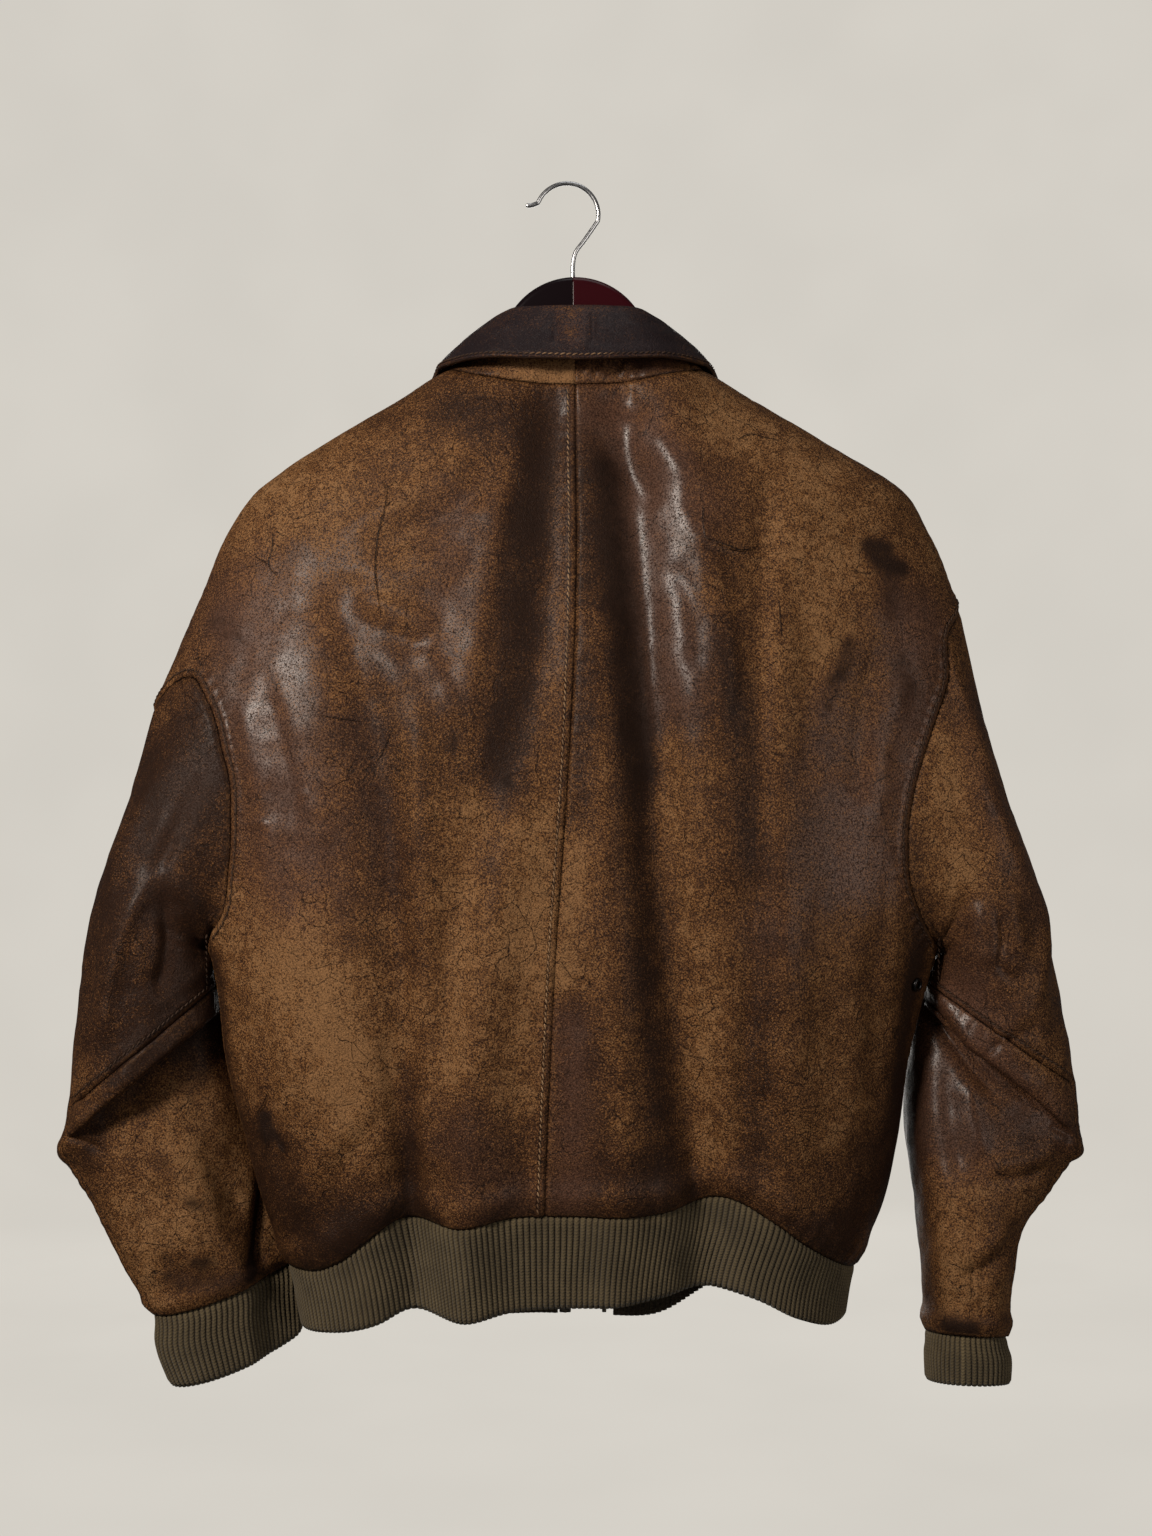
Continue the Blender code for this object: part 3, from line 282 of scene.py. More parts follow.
def torso(angle, z):
    """The body's surface. The angle is 0 at the centre back, -90 at the left side, 90 at the right side
    and 180 either way at the front."""
    angle, z = np.broadcast_arrays(np.asarray(angle, float), np.asarray(z, float))
    across, along = np.sin(np.radians(angle)), np.cos(np.radians(angle))
    back = along > 0
    power = 2 / np.where(back, BACK_POWER, FRONT_POWER)
    left, right = level("left", z), level("right", z)
    x = (left + right) / 2 + (right - left) / 2 * np.sign(across) * np.abs(across) ** power
    side_left, side_right = level("side_left", z), level("side_right", z)
    side = (side_left + side_right) / 2 + (side_right - side_left) / 2 * across
    depth = np.where(back, level("back", z), level("front", z))
    y = side + (depth - side) * np.abs(along) ** power
    edge = step(0, FOLD_EDGE_FADE, np.abs(np.abs(angle) - 90))
    lift = np.where(back, -folds_at(BACK_FOLDS, x, z), folds_at(FRONT_FOLDS, x, z))
    return np.stack([x, y + edge * lift, z], axis=-1)


def angle_of(x, z, front=False):
    """The angle at which the body's surface is at x."""
    left, right = level("left", z), level("right", z)
    share = np.clip((x - (left + right) / 2) / ((right - left) / 2), -1, 1)
    power = (FRONT_POWER if front else BACK_POWER) / 2
    turn = np.degrees(np.arcsin(np.abs(share) ** power))
    return np.where(share < 0, -1, 1) * ((180 - turn) if front else turn)


def on_body(route, front=False):
    """An (x, z) route as (angle, z)."""
    route = np.asarray(route, float)
    return np.stack([angle_of(route[:, 0], route[:, 1], front), route[:, 1]], axis=-1)


def torso_normal(angle, z):
    """Unit normals of the body's surface, pointing out."""
    round_it = torso(angle + 0.5, z) - torso(angle - 0.5, z)
    up_it = torso(angle, z + 0.5) - torso(angle, z - 0.5)
    return unit(np.cross(round_it, up_it))


def unit(vectors):
    return vectors / np.maximum(np.linalg.norm(vectors, axis=-1, keepdims=True), 1e-9)


def station(column, at):
    """A column of the collar's table, read smoothly at places counted in stations."""
    return smooth(range(len(COLLAR_STATIONS)), [getattr(row, column) for row in COLLAR_STATIONS], at)


def neck_seam(side, at):
    """(angle, z) of the neck seam at places counted in stations."""
    at = np.asarray(at)
    x, z = (station("seam", at) * (SIGN[side], 1) + (CENTRE_X, 0)).T
    angle = np.where(at > NECK_POINT, angle_of(x, z, True), angle_of(x, z))
    return np.stack([np.where(at == NECK_POINT, SIGN[side] * 90.0, angle), z], axis=-1)


def front_edge_x(side, z):
    """Where the leather of a front ends, beside the zip."""
    top = COLLAR_STATIONS[-1].seam[1]
    share = np.clip((np.asarray(z, float) - top) / (FRONT_HEM_Z - top), 0, 1)
    return CENTRE_X + (FRONT_END_X - CENTRE_X) * share + SIGN[side] * ZIP_OPENING / 2


def hem_z(angle):
    """Lower edge of the leather, from the angle round the body."""
    return edge_z(angle, BACK_HEM, FRONT_HEM)


def band_z(angle):
    """Lower edge of the knitted waistband."""
    return edge_z(angle, BAND_END, FRONT_BAND_END)


def edge_z(angle, back_edge, front_edge):
    """Height at an angle of an edge that is given as (x, z), between the same sides front and back."""
    across = (1 + np.sin(np.radians(angle))) / 2
    heights = []
    for edge in (front_edge, back_edge):
        x, z = np.array(edge, float).T
        heights.append(smooth(x, z, x[0] + (x[-1] - x[0]) * across))
    return np.where(np.abs(angle) > 90, *heights)


# ---- grids: rows and columns of points on a surface ---------------------------------------------------
def patch(top, outer, bottom, inner):
    """Points between four edges: top and bottom run from the inner to the outer edge, and the other two
    run down. The shapes of the top and the bottom fade quickly, so that rows settle between the sides."""
    down = np.linspace(0, 1, len(outer))[:, None, None]
    across = np.linspace(0, 1, len(top))[None, :, None]
    ruled = (1 - across) * inner[:, None] + across * outer[:, None]
    top_shape = top - ruled[0]
    bottom_shape = bottom - ruled[-1]
    return ruled + (1 - down) ** 3 * top_shape + down**3 * bottom_shape


def armhole_route(side, front):
    """(angle, z) down one armhole, from its top to the underarm."""
    middle = on_body((ARMHOLE_FRONT if front else ARMHOLE_BACK)[side], front)
    sign = SIGN[side]
    return np.array([(sign * 90, ARMHOLE_TOP_Z[side]), *middle, (sign * SIDE_SEAM, UNDERARM_Z[side])])


def panel_grid(side, front, cells):
    """(angle, z) points of one body panel. cells are the counts across the neck, along the shoulder, down
    the armhole and down the side."""
    neck_cells, shoulder_cells, armhole_cells, side_cells = cells
    armhole = armhole_route(side, front)
    shoulder, seam = SIGN[side] * 90.0, SIGN[side] * SIDE_SEAM
    rows, columns = armhole_cells + side_cells + 1, neck_cells + shoulder_cells + 1
    centre = len(COLLAR_STATIONS) - 1 if front else 0
    neck = neck_seam(side, np.linspace(centre, NECK_POINT, neck_cells + 1))
    if front:
        inner_z = np.linspace(neck[0, 1], FRONT_HEM_Z, rows)
        inner_x = front_edge_x(side, inner_z)
    else:
        inner_z = np.linspace(neck[0, 1], float(hem_z(0)), rows)
        x, z = np.array(CENTRE_BACK[::-1], float).T
        inner_x = smooth(z, x, inner_z)
    inner = np.stack([angle_of(inner_x, inner_z, front), inner_z], axis=-1)
    neck[0] = inner[0]
    shoulder_z = np.linspace(neck[-1, 1], armhole[0, 1], shoulder_cells + 1)[1:]
    top = np.concatenate([neck, np.stack([np.full(shoulder_cells, shoulder), shoulder_z], axis=-1)])
    side_z = np.linspace(armhole[-1, 1], float(hem_z(seam)), side_cells + 1)[1:]
    outer = np.concatenate([
        through(armhole, np.linspace(0, 1, armhole_cells + 1)),
        np.stack([np.full(side_cells, seam), side_z], axis=-1),
    ])
    turns = np.linspace(inner[-1, 0], seam, columns)
    return patch(top, outer, np.stack([turns, hem_z(turns)], axis=-1), inner)


def ring_points(ring, back_cells, front_cells):
    """A ring's points, from its outer end round the back to its inner end and home round the front."""
    outer, inner = np.array(ring.outer, float), np.array(ring.inner, float)
    part = np.linspace(0, 1, back_cells + 1)[:, None]
    bulge = np.sin(math.pi * part) ** 0.8
    back = outer + (inner - outer) * (1 - np.cos(math.pi * part)) / 2
    tuck = ring.tuck * step(TUCK_PLACE, TUCK_PLACE + TUCK_WIDTH, part) * (1 - step(TUCK_END, 1, part))
    under = ring.under * step(UNDER_START, UNDER_FULL, part)
    back = back + np.array([0, -1, 0]) * ((ring.back - under) * bulge - tuck)
    back = back + np.array([0, 0, 1]) * (ring.sag + UNDER_RISE * under) * bulge
    part = np.linspace(0, 1, front_cells + 1)[1:-1, None]
    front = inner + (outer - inner) * (1 - np.cos(math.pi * part)) / 2
    front = front + np.array([0, 1, 0]) * ring.front * np.sin(math.pi * part) ** 0.8
    return np.concatenate([back, front])


def armhole_points(side, back_cells, front_cells):
    """The armhole as the sleeve's first ring, with the body's normals there."""
    back = through(armhole_route(side, False), np.linspace(0, 1, back_cells + 1))
    front = through(armhole_route(side, True), np.linspace(1, 0, front_cells + 1))[1:-1]
    route = np.concatenate([back, front])
    return torso(route[:, 0], route[:, 1]), torso_normal(route[:, 0], route[:, 1])


def sleeve_grid(side, rings, back_cells, front_cells, between):
    """Rows of points down a sleeve, with `between` rows from each ring to the next."""
    first, _ = armhole_points(side, back_cells, front_cells)
    stack = np.stack([first] + [ring_points(ring, back_cells, front_cells) for ring in rings])
    knots = np.arange(len(stack))
    steps = [np.arange(count) / count + start for start, count in zip(knots, between)]
    rows = np.concatenate([*steps, knots[-1:]])
    return smooth(knots, stack, rows), rows


# ---- walls --------------------------------------------------------------------------------------------
def grid_normals(points, closed=False):
    """Unit normals of a grid of points whose rows run down and whose columns run to the right of
    somebody who looks at its outside."""
    if closed:
        round_it = np.roll(points, -1, axis=1) - np.roll(points, 1, axis=1)
    else:
        round_it = np.gradient(points, axis=1)
    return unit(np.cross(np.gradient(points, axis=0), round_it))


# ---- wear and colour of the leather --------------------------------------------------------------------
# Each stroke is a soft brush mark along a route of (x, z) on the side it is named for. Its wear is how far
# the dark finish is rubbed down to tan there (negative where it is kept, and also where painted shade darkens
# hollows, the undersides of folds and edges that turn away from the lamps), its red a reddish cast (in the
# glossy patches partly a painted reflection of the sheen) and its stain a dark blot (real stains, and painted
# shade in those same hollows, undersides and edges).
Stroke = namedtuple("Stroke", "name route width wear red stain", defaults=(0, 0))
BACK_STROKES = table(Stroke, (
    ("left shoulder, rubbed", ((-165, -178), (-210, -250)), 34, 0.26),
    ("under the left shoulder", ((-110, -215), (-150, -290)), 34, 0.12, 0.1),
    ("right shoulder, rubbed", ((105, -172), (160, -205), (212, -245)), 32, 0.3),
    ("below the right shoulder", ((140, -240), (160, -330)), 26, 0.24),
    # painted shade: the leather just under the collar is kept dark for the shade the collar casts
    ("dark under the collar, left", ((-70, -158), (-10, -172)), 20, -0.22),
    ("dark under the collar, right", ((15, -160), (48, -190)), 20, -0.16, 0.15),
    # painted shade: these bands darken the slope left of the seam that turns away from the key lamp
    ("dark band left of the seam", ((-14, -165), (-24, -240), (-30, -320), (-40, -400)),
     17, -0.45, 0, 0.16),
    ("dark edge of that band", ((-30, -225), (-36, -320), (-46, -390)), 8, -0.2, 0, 0.12),
    ("dark band beside the seam", ((10, -170), (10, -420)), 9, -0.3),
    # painted shade: the hollow right of the seam and its lower run are kept dark and blotted for the hollow's
    # shade
    ("dark hollow right of the seam", ((24, -200), (31, -240), (40, -330), (46, -400)), 14, -0.6, 0, 0.42),
    ("its lower run", ((45, -420), (50, -500), (58, -590), (64, -670)), 12, -0.38, 0, 0.06),
    # painted reflection: the plum cast of this glossy patch stands partly for its sheen
    ("its upper shine", ((52, -225), (66, -300), (72, -350)), 19, -0.42, 0.6),
    ("yoke right, reddish", ((24, -158), (60, -185), (85, -225)), 24, -0.16, 0.55),
    ("collar shadow, left", ((-85, -162), (-45, -158)), 9, -0.2, 0, 0.15),
    # painted shade in the second hollow
    ("second hollow right", ((100, -305), (108, -370), (114, -430), (122, -490), (124, -560), (118, -665)),
     11, -0.26, 0, 0.08),
    ("left of centre, middle", ((-70, -230), (-80, -330)), 22, -0.1, 0.35),
    ("left middle, plum", ((-205, -290), (-200, -350), (-182, -415), (-176, -470)), 38, -0.3, 0.6),
    ("left edge blot", ((-230, -300), (-212, -312)), 10, -0.2, 0.2, 0.3),
    ("left middle streak", ((-132, -370), (-110, -455)), 14, -0.2, 0.1, 0.05),
    ("dimple shadow", ((-146, -292), (-112, -330)), 12, -0.14, 0.1, 0.05),
    ("left panel, plain brown", ((-120, -340), (-105, -470), (-95, -590)), 26, -0.02),
    ("right middle, plum", ((228, -300), (232, -345), (212, -400), (196, -465)), 26, -0.26, 0.6),
    ("right middle, brown", ((175, -360), (165, -440), (140, -500)), 26, -0.16, 0.3),
    ("right blot, first streak", ((198, -249), (210, -250)), 6, -0.35, 0, 0.6),
    ("right blot, second streak", ((201, -258), (220, -264)), 6, -0.3, 0, 0.6),
    ("right blot, tail", ((208, -268), (213, -292)), 9, -0.2, 0.1, 0.3),
    ("right blot, lower", ((183, -314), (178, -334)), 6, -0.25, 0.1, 0.5),
    ("right blot, lowest", ((173, -340), (168, -357)), 6, -0.25, 0.1, 0.4),
    ("right blot, faint", ((219, -330), (224, -345)), 12, -0.1, 0.1, 0.35),
    ("left lower, tan", ((-185, -500), (-160, -560), (-130, -600)), 40, 0.52),
    ("tan roll left of centre", ((-60, -420), (-62, -490), (-70, -580)), 16, 0.3),
    ("tan beside the seam, left", ((-24, -440), (-28, -540), (-32, -600)), 18, 0.34),
    ("tan beside the seam, right", ((6, -450), (0, -530)), 9, 0.34, 0.1),
    ("orange fleck field", ((66, -385), (70, -450), (74, -500)), 15, 0.2),
    ("right lower, tan", ((150, -500), (175, -560), (175, -640)), 34, 0.16),
    ("tan between the hollows", ((92, -500), (92, -590), (95, -640)), 15, 0.2),
    ("left hem, dark", ((-215, -640), (-175, -690), (-120, -700)), 30, -0.46, 0, 0.12),
    # painted shade in the hollow by the left hem
    ("left hem hollow", ((-102, -590), (-100, -690)), 8, -0.4, 0, 0.15),
    ("hem left of the seam", ((-64, -630), (-40, -672)), 26, -0.3, 0.3),
    ("plum roll right of the seam", ((0, -560), (4, -600), (2, -670)), 15, -0.46, 0.6, 0.05),
    ("hem right of the seam", ((30, -655), (70, -676)), 16, -0.3, 0.1, 0.05),
    ("right hem, dark", ((150, -700), (190, -690), (205, -650)), 20, -0.5, 0.1, 0.12),
    ("right edge in shade", ((236, -480), (222, -560), (218, -640), (212, -720)), 7, -0.6, 0, 0.35),
    ("left edge in shade", ((-232, -520), (-222, -600), (-208, -700)), 6, -0.4, 0, 0.2),
    ("gouge in the left panel", ((-196, -622), (-196, -636)), 4, -0.4, 0, 0.8),
    ("gouge tail", ((-190, -634), (-184, -642)), 3, -0.2, 0, 0.5),
    ("speck", ((-72, -376), (-72, -382)), 4, -0.2, 0, 0.4),
    ("small speck", ((-38, -402), (-38, -406)), 3, -0.2, 0, 0.4),
))
LEFT_SLEEVE_STROKES = table(Stroke, (
    ("sleeve, dark and polished", ((-250, -360), (-285, -450), (-270, -540)), 60, -0.5, 0.04, 0.06),
    ("shoulder overhang", ((-240, -325), (-266, -360)), 12, 0.3),
    # painted shade in the two hollows of the bend
    ("hollow of the bend", ((-264, -478), (-260, -530)), 10, -0.2, 0.1, 0.15),
    ("upper hollow", ((-238, -400), (-262, -450)), 10, -0.2, 0.1, 0.15),
    ("outer side, brown", ((-318, -500), (-326, -600)), 16, 0.12),
    ("rubbed elbow", ((-330, -640), (-300, -612)), 12, 0.16),
    # painted shade under the fold that overhangs the elbow
    ("under the overhang", ((-240, -560), (-290, -598), (-315, -640)), 13, -0.34, 0, 0.2),
    ("forearm, tan", ((-262, -620), (-250, -680), (-262, -735)), 34, 0.28),
    ("forearm outer, brown", ((-305, -640), (-288, -700)), 9, 0.1),
    ("long spot", ((-255, -609), (-248, -612)), 5, 0, 0, 0.25),
    ("oval spot", ((-250, -683), (-243, -684)), 4.5, -0.1, 0, 0.5),
    ("pale mark", ((-268, -657), (-263, -661)), 8, -0.1, 0.1, 0.3),
    ("spot by the seam", ((-266, -717), (-262, -720)), 4, 0, 0, 0.45),
    ("spot above the cuff", ((-245, -722), (-240, -723)), 6, 0, 0, 0.5),
    ("scorched edge by the cuff", ((-262, -732), (-236, -738), (-215, -734)), 9, -0.2, 0.1, 0.4),
    ("wrist side, tan", ((-203, -680), (-196, -712)), 12, 0.25),
    # painted shade: a dark line where the back folds over its tucked inner third
    ("line of the inner fold", ((-206, -648), (-210, -692), (-214, -737)), 1.9, -0.6, 0, 1.1),
))
RIGHT_SLEEVE_STROKES = table(Stroke, (
    ("sleeve head, tan", ((250, -380), (252, -440), (256, -470)), 20, 0.42),
    ("behind the seam, tan", ((268, -300), (270, -340)), 14, 0.25),
    ("polished run", ((262, -350), (278, -410), (292, -450), (312, -480)), 16, -0.12, 0.3),
    ("outer side, brown", ((320, -470), (332, -560), (336, -620)), 18, -0.05, 0.1),
    ("raised fold, polished", ((266, -500), (270, -530), (290, -560)), 20, -0.12, 0.25),
    ("below the fold, rubbed", ((305, -560), (322, -600)), 16, 0.12),
    ("pale patch on the strip", ((240, -528), (252, -540)), 8, 0.1, 0.2),
    ("strip, polished", ((262, -545), (285, -590), (320, -620)), 12, -0.22, 0.4),
    # painted shade under the fold that overhangs the elbow, with a plum cast
    ("under the overhang", ((240, -560), (250, -600), (262, -640)), 30, -0.36, 0.45, 0.1),
    ("elbow, dark", ((300, -625), (335, -640)), 12, -0.3, 0.2, 0.15),
    ("forearm, tan", ((262, -680), (256, -720), (262, -750)), 24, 0.42),
    ("forearm hem, brown", ((250, -655), (300, -680)), 14, 0.05, 0.1),
    ("double blot by the cuff", ((254, -764), (265, -765)), 5, -0.3, 0, 0.8),
    ("edge by the cuff", ((245, -758), (292, -760)), 6, -0.2, 0.1, 0.25),
    ("inner edge in shade", ((236, -590), (238, -700), (244, -750)), 5, -0.3, 0, 0.2),
))
FRONT_STROKES = table(Stroke, (
    ("left chest, tan", ((-120, -300), (-130, -420)), 40, 0.24),
    ("right chest, tan", ((120, -280), (135, -400)), 40, 0.2),
    ("left front edge", ((-22, -220), (-20, -700)), 14, -0.2, 0.3, 0.05),
    ("right front edge", ((36, -220), (38, -700)), 14, -0.2, 0.3, 0.05),
    ("left waist", ((-160, -640), (-60, -690)), 34, -0.35, 0.1, 0.1),
    ("right waist", ((160, -650), (70, -690)), 34, -0.32, 0.1, 0.1),
    ("left middle, plum", ((-80, -420), (-70, -560)), 28, -0.2, 0.5),
    ("right middle, plum", ((70, -400), (88, -560)), 28, -0.22, 0.5),
    ("left shoulder", ((-90, -165), (-200, -250)), 26, 0.22),
    ("right shoulder", ((100, -165), (212, -250)), 26, 0.22),
    ("left lower, tan", ((-150, -520), (-160, -600)), 30, 0.3),
    ("right lower, tan", ((150, -520), (160, -600)), 30, 0.28),
))
BASE_WEAR = 0.42

# ---- folds and creases ---------------------------------------------------------------------------------
# Each crease runs downwards or to the right along a route of (x, z). over is how far it reaches above it or
# to its right, under is how far below or to its left, and lift is its height, negative for a hollow.
Crease = namedtuple("Crease", "name route over under lift")
BACK_CREASES = table(Crease, (
    ("from the neck to the left shoulder", ((-58, -192), (-108, -221), (-148, -240)), 12, 8, 2.2),
    ("hollow under it", ((-34, -200), (-76, -230), (-132, -258)), 8, 12, -2.4),
    ("second soft fold, left", ((-60, -262), (-108, -272), (-160, -262)), 9, 9, 1.4),
    ("shining bump left of centre", ((-42, -190), (-46, -250), (-58, -330), (-64, -390)), 7, 15, 3),
    ("line beside the bump", ((-66, -232), (-92, -262)), 3, 5, -1),
    ("pinch, crest", ((-140, -284), (-112, -292), (-84, -306)), 6, 8, 2),
    ("pinch, hollow", ((-140, -300), (-114, -309), (-88, -320)), 6, 12, -2),
    ("below the pinch", ((-96, -316), (-78, -345), (-70, -372)), 6, 10, 1.6),
    ("dent left of the pinch", ((-157, -282), (-146, -304), (-138, -330)), 4, 6, -1.6),
    ("from the neck to the right", ((22, -160), (58, -184), (92, -214)), 10, 12, 2.8),
    ("hollow beside it", ((10, -168), (36, -200), (62, -228)), 8, 9, -1.8),
    ("right shoulder, soft", ((96, -196), (150, -236), (200, -300)), 16, 14, 1.6),
    ("curved ridge", ((70, -216), (92, -262), (101, -306), (103, -346), (94, -378)), 6, 9, 2.4),
    ("hollow inside the curve", ((70, -262), (82, -300), (84, -340)), 7, 7, -1.8),
    ("torn flap", ((88, -232), (90, -249), (110, -254), (124, -252)), 9, 1.8, 1.5),
    ("right shoulder blade", ((130, -250), (135, -330), (130, -402)), 8, 8, 2.2),
    ("right dent", ((150, -262), (158, -330), (150, -420)), 9, 9, -1.6),
    ("by the right armhole, upper", ((222, -330), (206, -380), (200, -440)), 9, 9, 1.6),
    ("by the right armhole, hollow", ((206, -300), (192, -360), (186, -430)), 8, 8, -1.4),
    ("left flank, upper roll", ((-214, -340), (-196, -420), (-190, -500)), 9, 9, 1.8),
    ("left flank, hollow", ((-196, -330), (-176, -420), (-172, -500)), 8, 8, -1.6),
    ("short wrinkle", ((-206, -434), (-198, -431), (-190, -434)), 1.6, 1.6, 0.8),
    ("second short wrinkle", ((-172, -414), (-164, -412)), 1.6, 1.6, 0.6),
    ("thin crease left", ((-80, -480), (-76, -530), (-78, -575)), 2.2, 2.2, -0.9),
    ("thin crease beside it", ((-74, -486), (-70, -540), (-72, -580)), 2, 2, 0.8),
    ("left hem fold", ((-118, -560), (-104, -640), (-98, -690)), 3, 7, -2.2),
    ("left hem roll", ((-90, -600), (-88, -660), (-86, -690)), 5, 4, 1.8),
    ("left hem, slanted", ((-128, -610), (-160, -650), (-178, -690)), 7, 7, 1.5),
    ("left hem, slanted hollow", ((-112, -610), (-142, -652), (-156, -700)), 6, 6, -1.6),
    ("left lower side", ((-192, -560), (-190, -620), (-182, -680)), 7, 5, -1.4),
    ("hem roll left of the seam", ((-46, -590), (-42, -640), (-44, -690)), 7, 7, 1.6),
    ("hem hollow by the seam", ((-28, -640), (-26, -690)), 5, 5, -1.4),
    ("roll right of the seam", ((8, -560), (14, -610), (22, -646)), 6, 5, 2.2),
    ("hollow right of it", ((28, -560), (32, -640)), 6, 6, -1.6),
    ("pleat above the band", ((88, -636), (91, -672)), 4, 4, 2.4),
    ("pleat, left side", ((80, -640), (82, -676)), 3, 3, -1.8),
    ("pleat, right side", ((98, -628), (99, -678)), 3, 3, -1.8),
    ("upright crease right", ((116, -540), (113, -600), (112, -660)), 3, 5, -1.8),
    ("upright lip right", ((122, -470), (124, -540), (120, -600)), 4, 3, 1.5),
    ("right hem, slanted", ((128, -560), (152, -604), (186, -652)), 10, 8, 1.8),
    ("right hem, slanted hollow", ((120, -600), (146, -640), (168, -668)), 8, 8, -1.6),
    ("right hem, lower slant", ((134, -622), (160, -664), (176, -700)), 6, 6, 1.4),
    ("right flank", ((196, -500), (200, -580), (198, -650)), 9, 9, -1.5),
    ("towards the eyelet", ((216, -450), (214, -500), (206, -560)), 8, 8, 1.5),
))
LEFT_SLEEVE_CREASES = table(Crease, (
    ("upper roll", ((-232, -356), (-256, -390), (-280, -424), (-300, -470)), 9, 9, 2.6),
    ("upper hollow", ((-238, -398), (-256, -440), (-270, -466)), 6, 7, -3.2),
    ("bend, left crest", ((-269, -462), (-286, -500), (-298, -545), (-300, -580)), 5, 10, 4.2),
    ("bend, right crest", ((-262, -458), (-246, -482), (-238, -512), (-250, -545)), 5, 5, 4),
    ("bend, hollow", ((-264, -474), (-260, -510), (-268, -548)), 6, 6, -4.4),
    ("outer dent", ((-302, -470), (-312, -520), (-316, -570)), 7, 7, -2.2),
    ("above the seam", ((-270, -560), (-284, -590), (-300, -612)), 6, 6, 2),
    ("tip, first fold", ((-336, -638), (-322, -641), (-306, -648)), 2.4, 2.4, -2.4),
    ("tip, second fold", ((-328, -612), (-314, -612), (-300, -618)), 2.2, 2.2, -1.6),
    ("tip, roll between", ((-332, -626), (-318, -627), (-304, -632)), 4, 4, 1.6),
    ("forearm, fine fold", ((-284, -655), (-268, -658), (-256, -655)), 2, 2, -0.9),
    ("forearm, second fine fold", ((-282, -663), (-264, -667), (-250, -664)), 2, 2, 0.8),
    ("forearm roll", ((-262, -640), (-248, -690), (-250, -730)), 12, 10, 1.6),
    ("above the cuff", ((-250, -706), (-256, -738)), 5, 5, -1.4),
    ("inner fold, lip", ((-211, -648), (-216, -694), (-220, -740)), 2.4, 7, 2.4),
    ("inner fold, hollow", ((-204, -644), (-208, -690), (-212, -742)), 4, 2, -3.4),
))
RIGHT_SLEEVE_CREASES = table(Crease, (
    ("upper roll", ((262, -356), (272, -400), (290, -444), (306, -480), (314, -520)), 9, 9, 3),
    ("head hollow", ((248, -400), (262, -440), (276, -470)), 7, 7, -2),
    ("raised fold", ((271, -482), (270, -506), (278, -526)), 8, 7, 2.4),
    ("raised fold, left edge", ((264, -478), (254, -498), (247, -514)), 1.6, 2.4, -3),
    ("raised fold, right edge", ((281, -486), (284, -508), (282, -524), (292, -534), (303, -526)),
     3.2, 2.4, -2.6),
    ("beyond the fold", ((288, -470), (292, -500), (298, -520)), 6, 5, 2.4),
    ("outer crest", ((306, -470), (314, -510), (304, -545), (288, -560)), 6, 6, 2.8),
    ("outer dent", ((322, -520), (326, -580)), 7, 7, -2),
    ("cross crease", ((274, -585), (286, -575), (312, -562)), 2.6, 2.6, -3),
    ("above the cross crease", ((280, -572), (296, -562), (314, -552)), 5, 4, 1.8),
    ("strip, crest", ((240, -536), (257, -562), (272, -584), (296, -610), (310, -618)), 6, 2.4, 3.4),
    ("strip, hollow below", ((238, -546), (254, -572), (268, -592), (290, -618)), 2.4, 6, -3.4),
    ("forearm, shining roll", ((268, -600), (270, -630), (276, -655)), 6, 6, 2.6),
    ("forearm hollow", ((252, -590), (254, -630), (262, -668)), 6, 6, -2),
    ("elbow roll", ((272, -658), (296, -656), (324, -650)), 6, 5, 3),
    ("elbow crease", ((276, -667), (298, -666), (320, -660)), 2.8, 2.8, -3),
    ("elbow tip, fold", ((318, -632), (336, -640)), 3, 3, -2),
    ("forearm lap, crest", ((258, -722), (274, -712), (292, -698)), 8, 2.4, 3.2),
    ("forearm lap, hollow", ((256, -732), (276, -720), (296, -706)), 2.2, 6, -3.2),
    ("lower forearm seam", ((266, -712), (265, -736), (268, -762)), 1.6, 1.6, -1.4),
    ("lower forearm, second line", ((274, -718), (272, -740), (274, -762)), 1.6, 1.6, -0.9),
    ("lower forearm roll", ((252, -700), (252, -745)), 6, 6, 1.8),
))
FRONT_CREASES = table(Crease, (
    ("left chest fold", ((-60, -220), (-110, -300), (-150, -380)), 14, 10, 2),
    ("right chest fold", ((72, -220), (120, -300), (160, -380)), 14, 10, 2),
    ("left armhole fold", ((-190, -360), (-150, -420), (-140, -500)), 10, 8, 2),
    ("right armhole fold", ((196, -360), (158, -420), (146, -500)), 10, 8, 2),
    ("left upright hollow", ((-84, -460), (-78, -600), (-74, -700)), 8, 8, -2.2),
    ("right upright hollow", ((96, -460), (90, -600), (86, -700)), 8, 8, -2.2),
    ("left waist slant", ((-150, -600), (-120, -650), (-110, -700)), 7, 7, 1.8),
    ("right waist slant", ((150, -600), (128, -650), (118, -700)), 7, 7, 1.8),
    ("left hem pleat", ((-60, -650), (-58, -705)), 4, 4, 1.8),
    ("right hem pleat", ((66, -650), (66, -700)), 4, 4, 1.8),
))

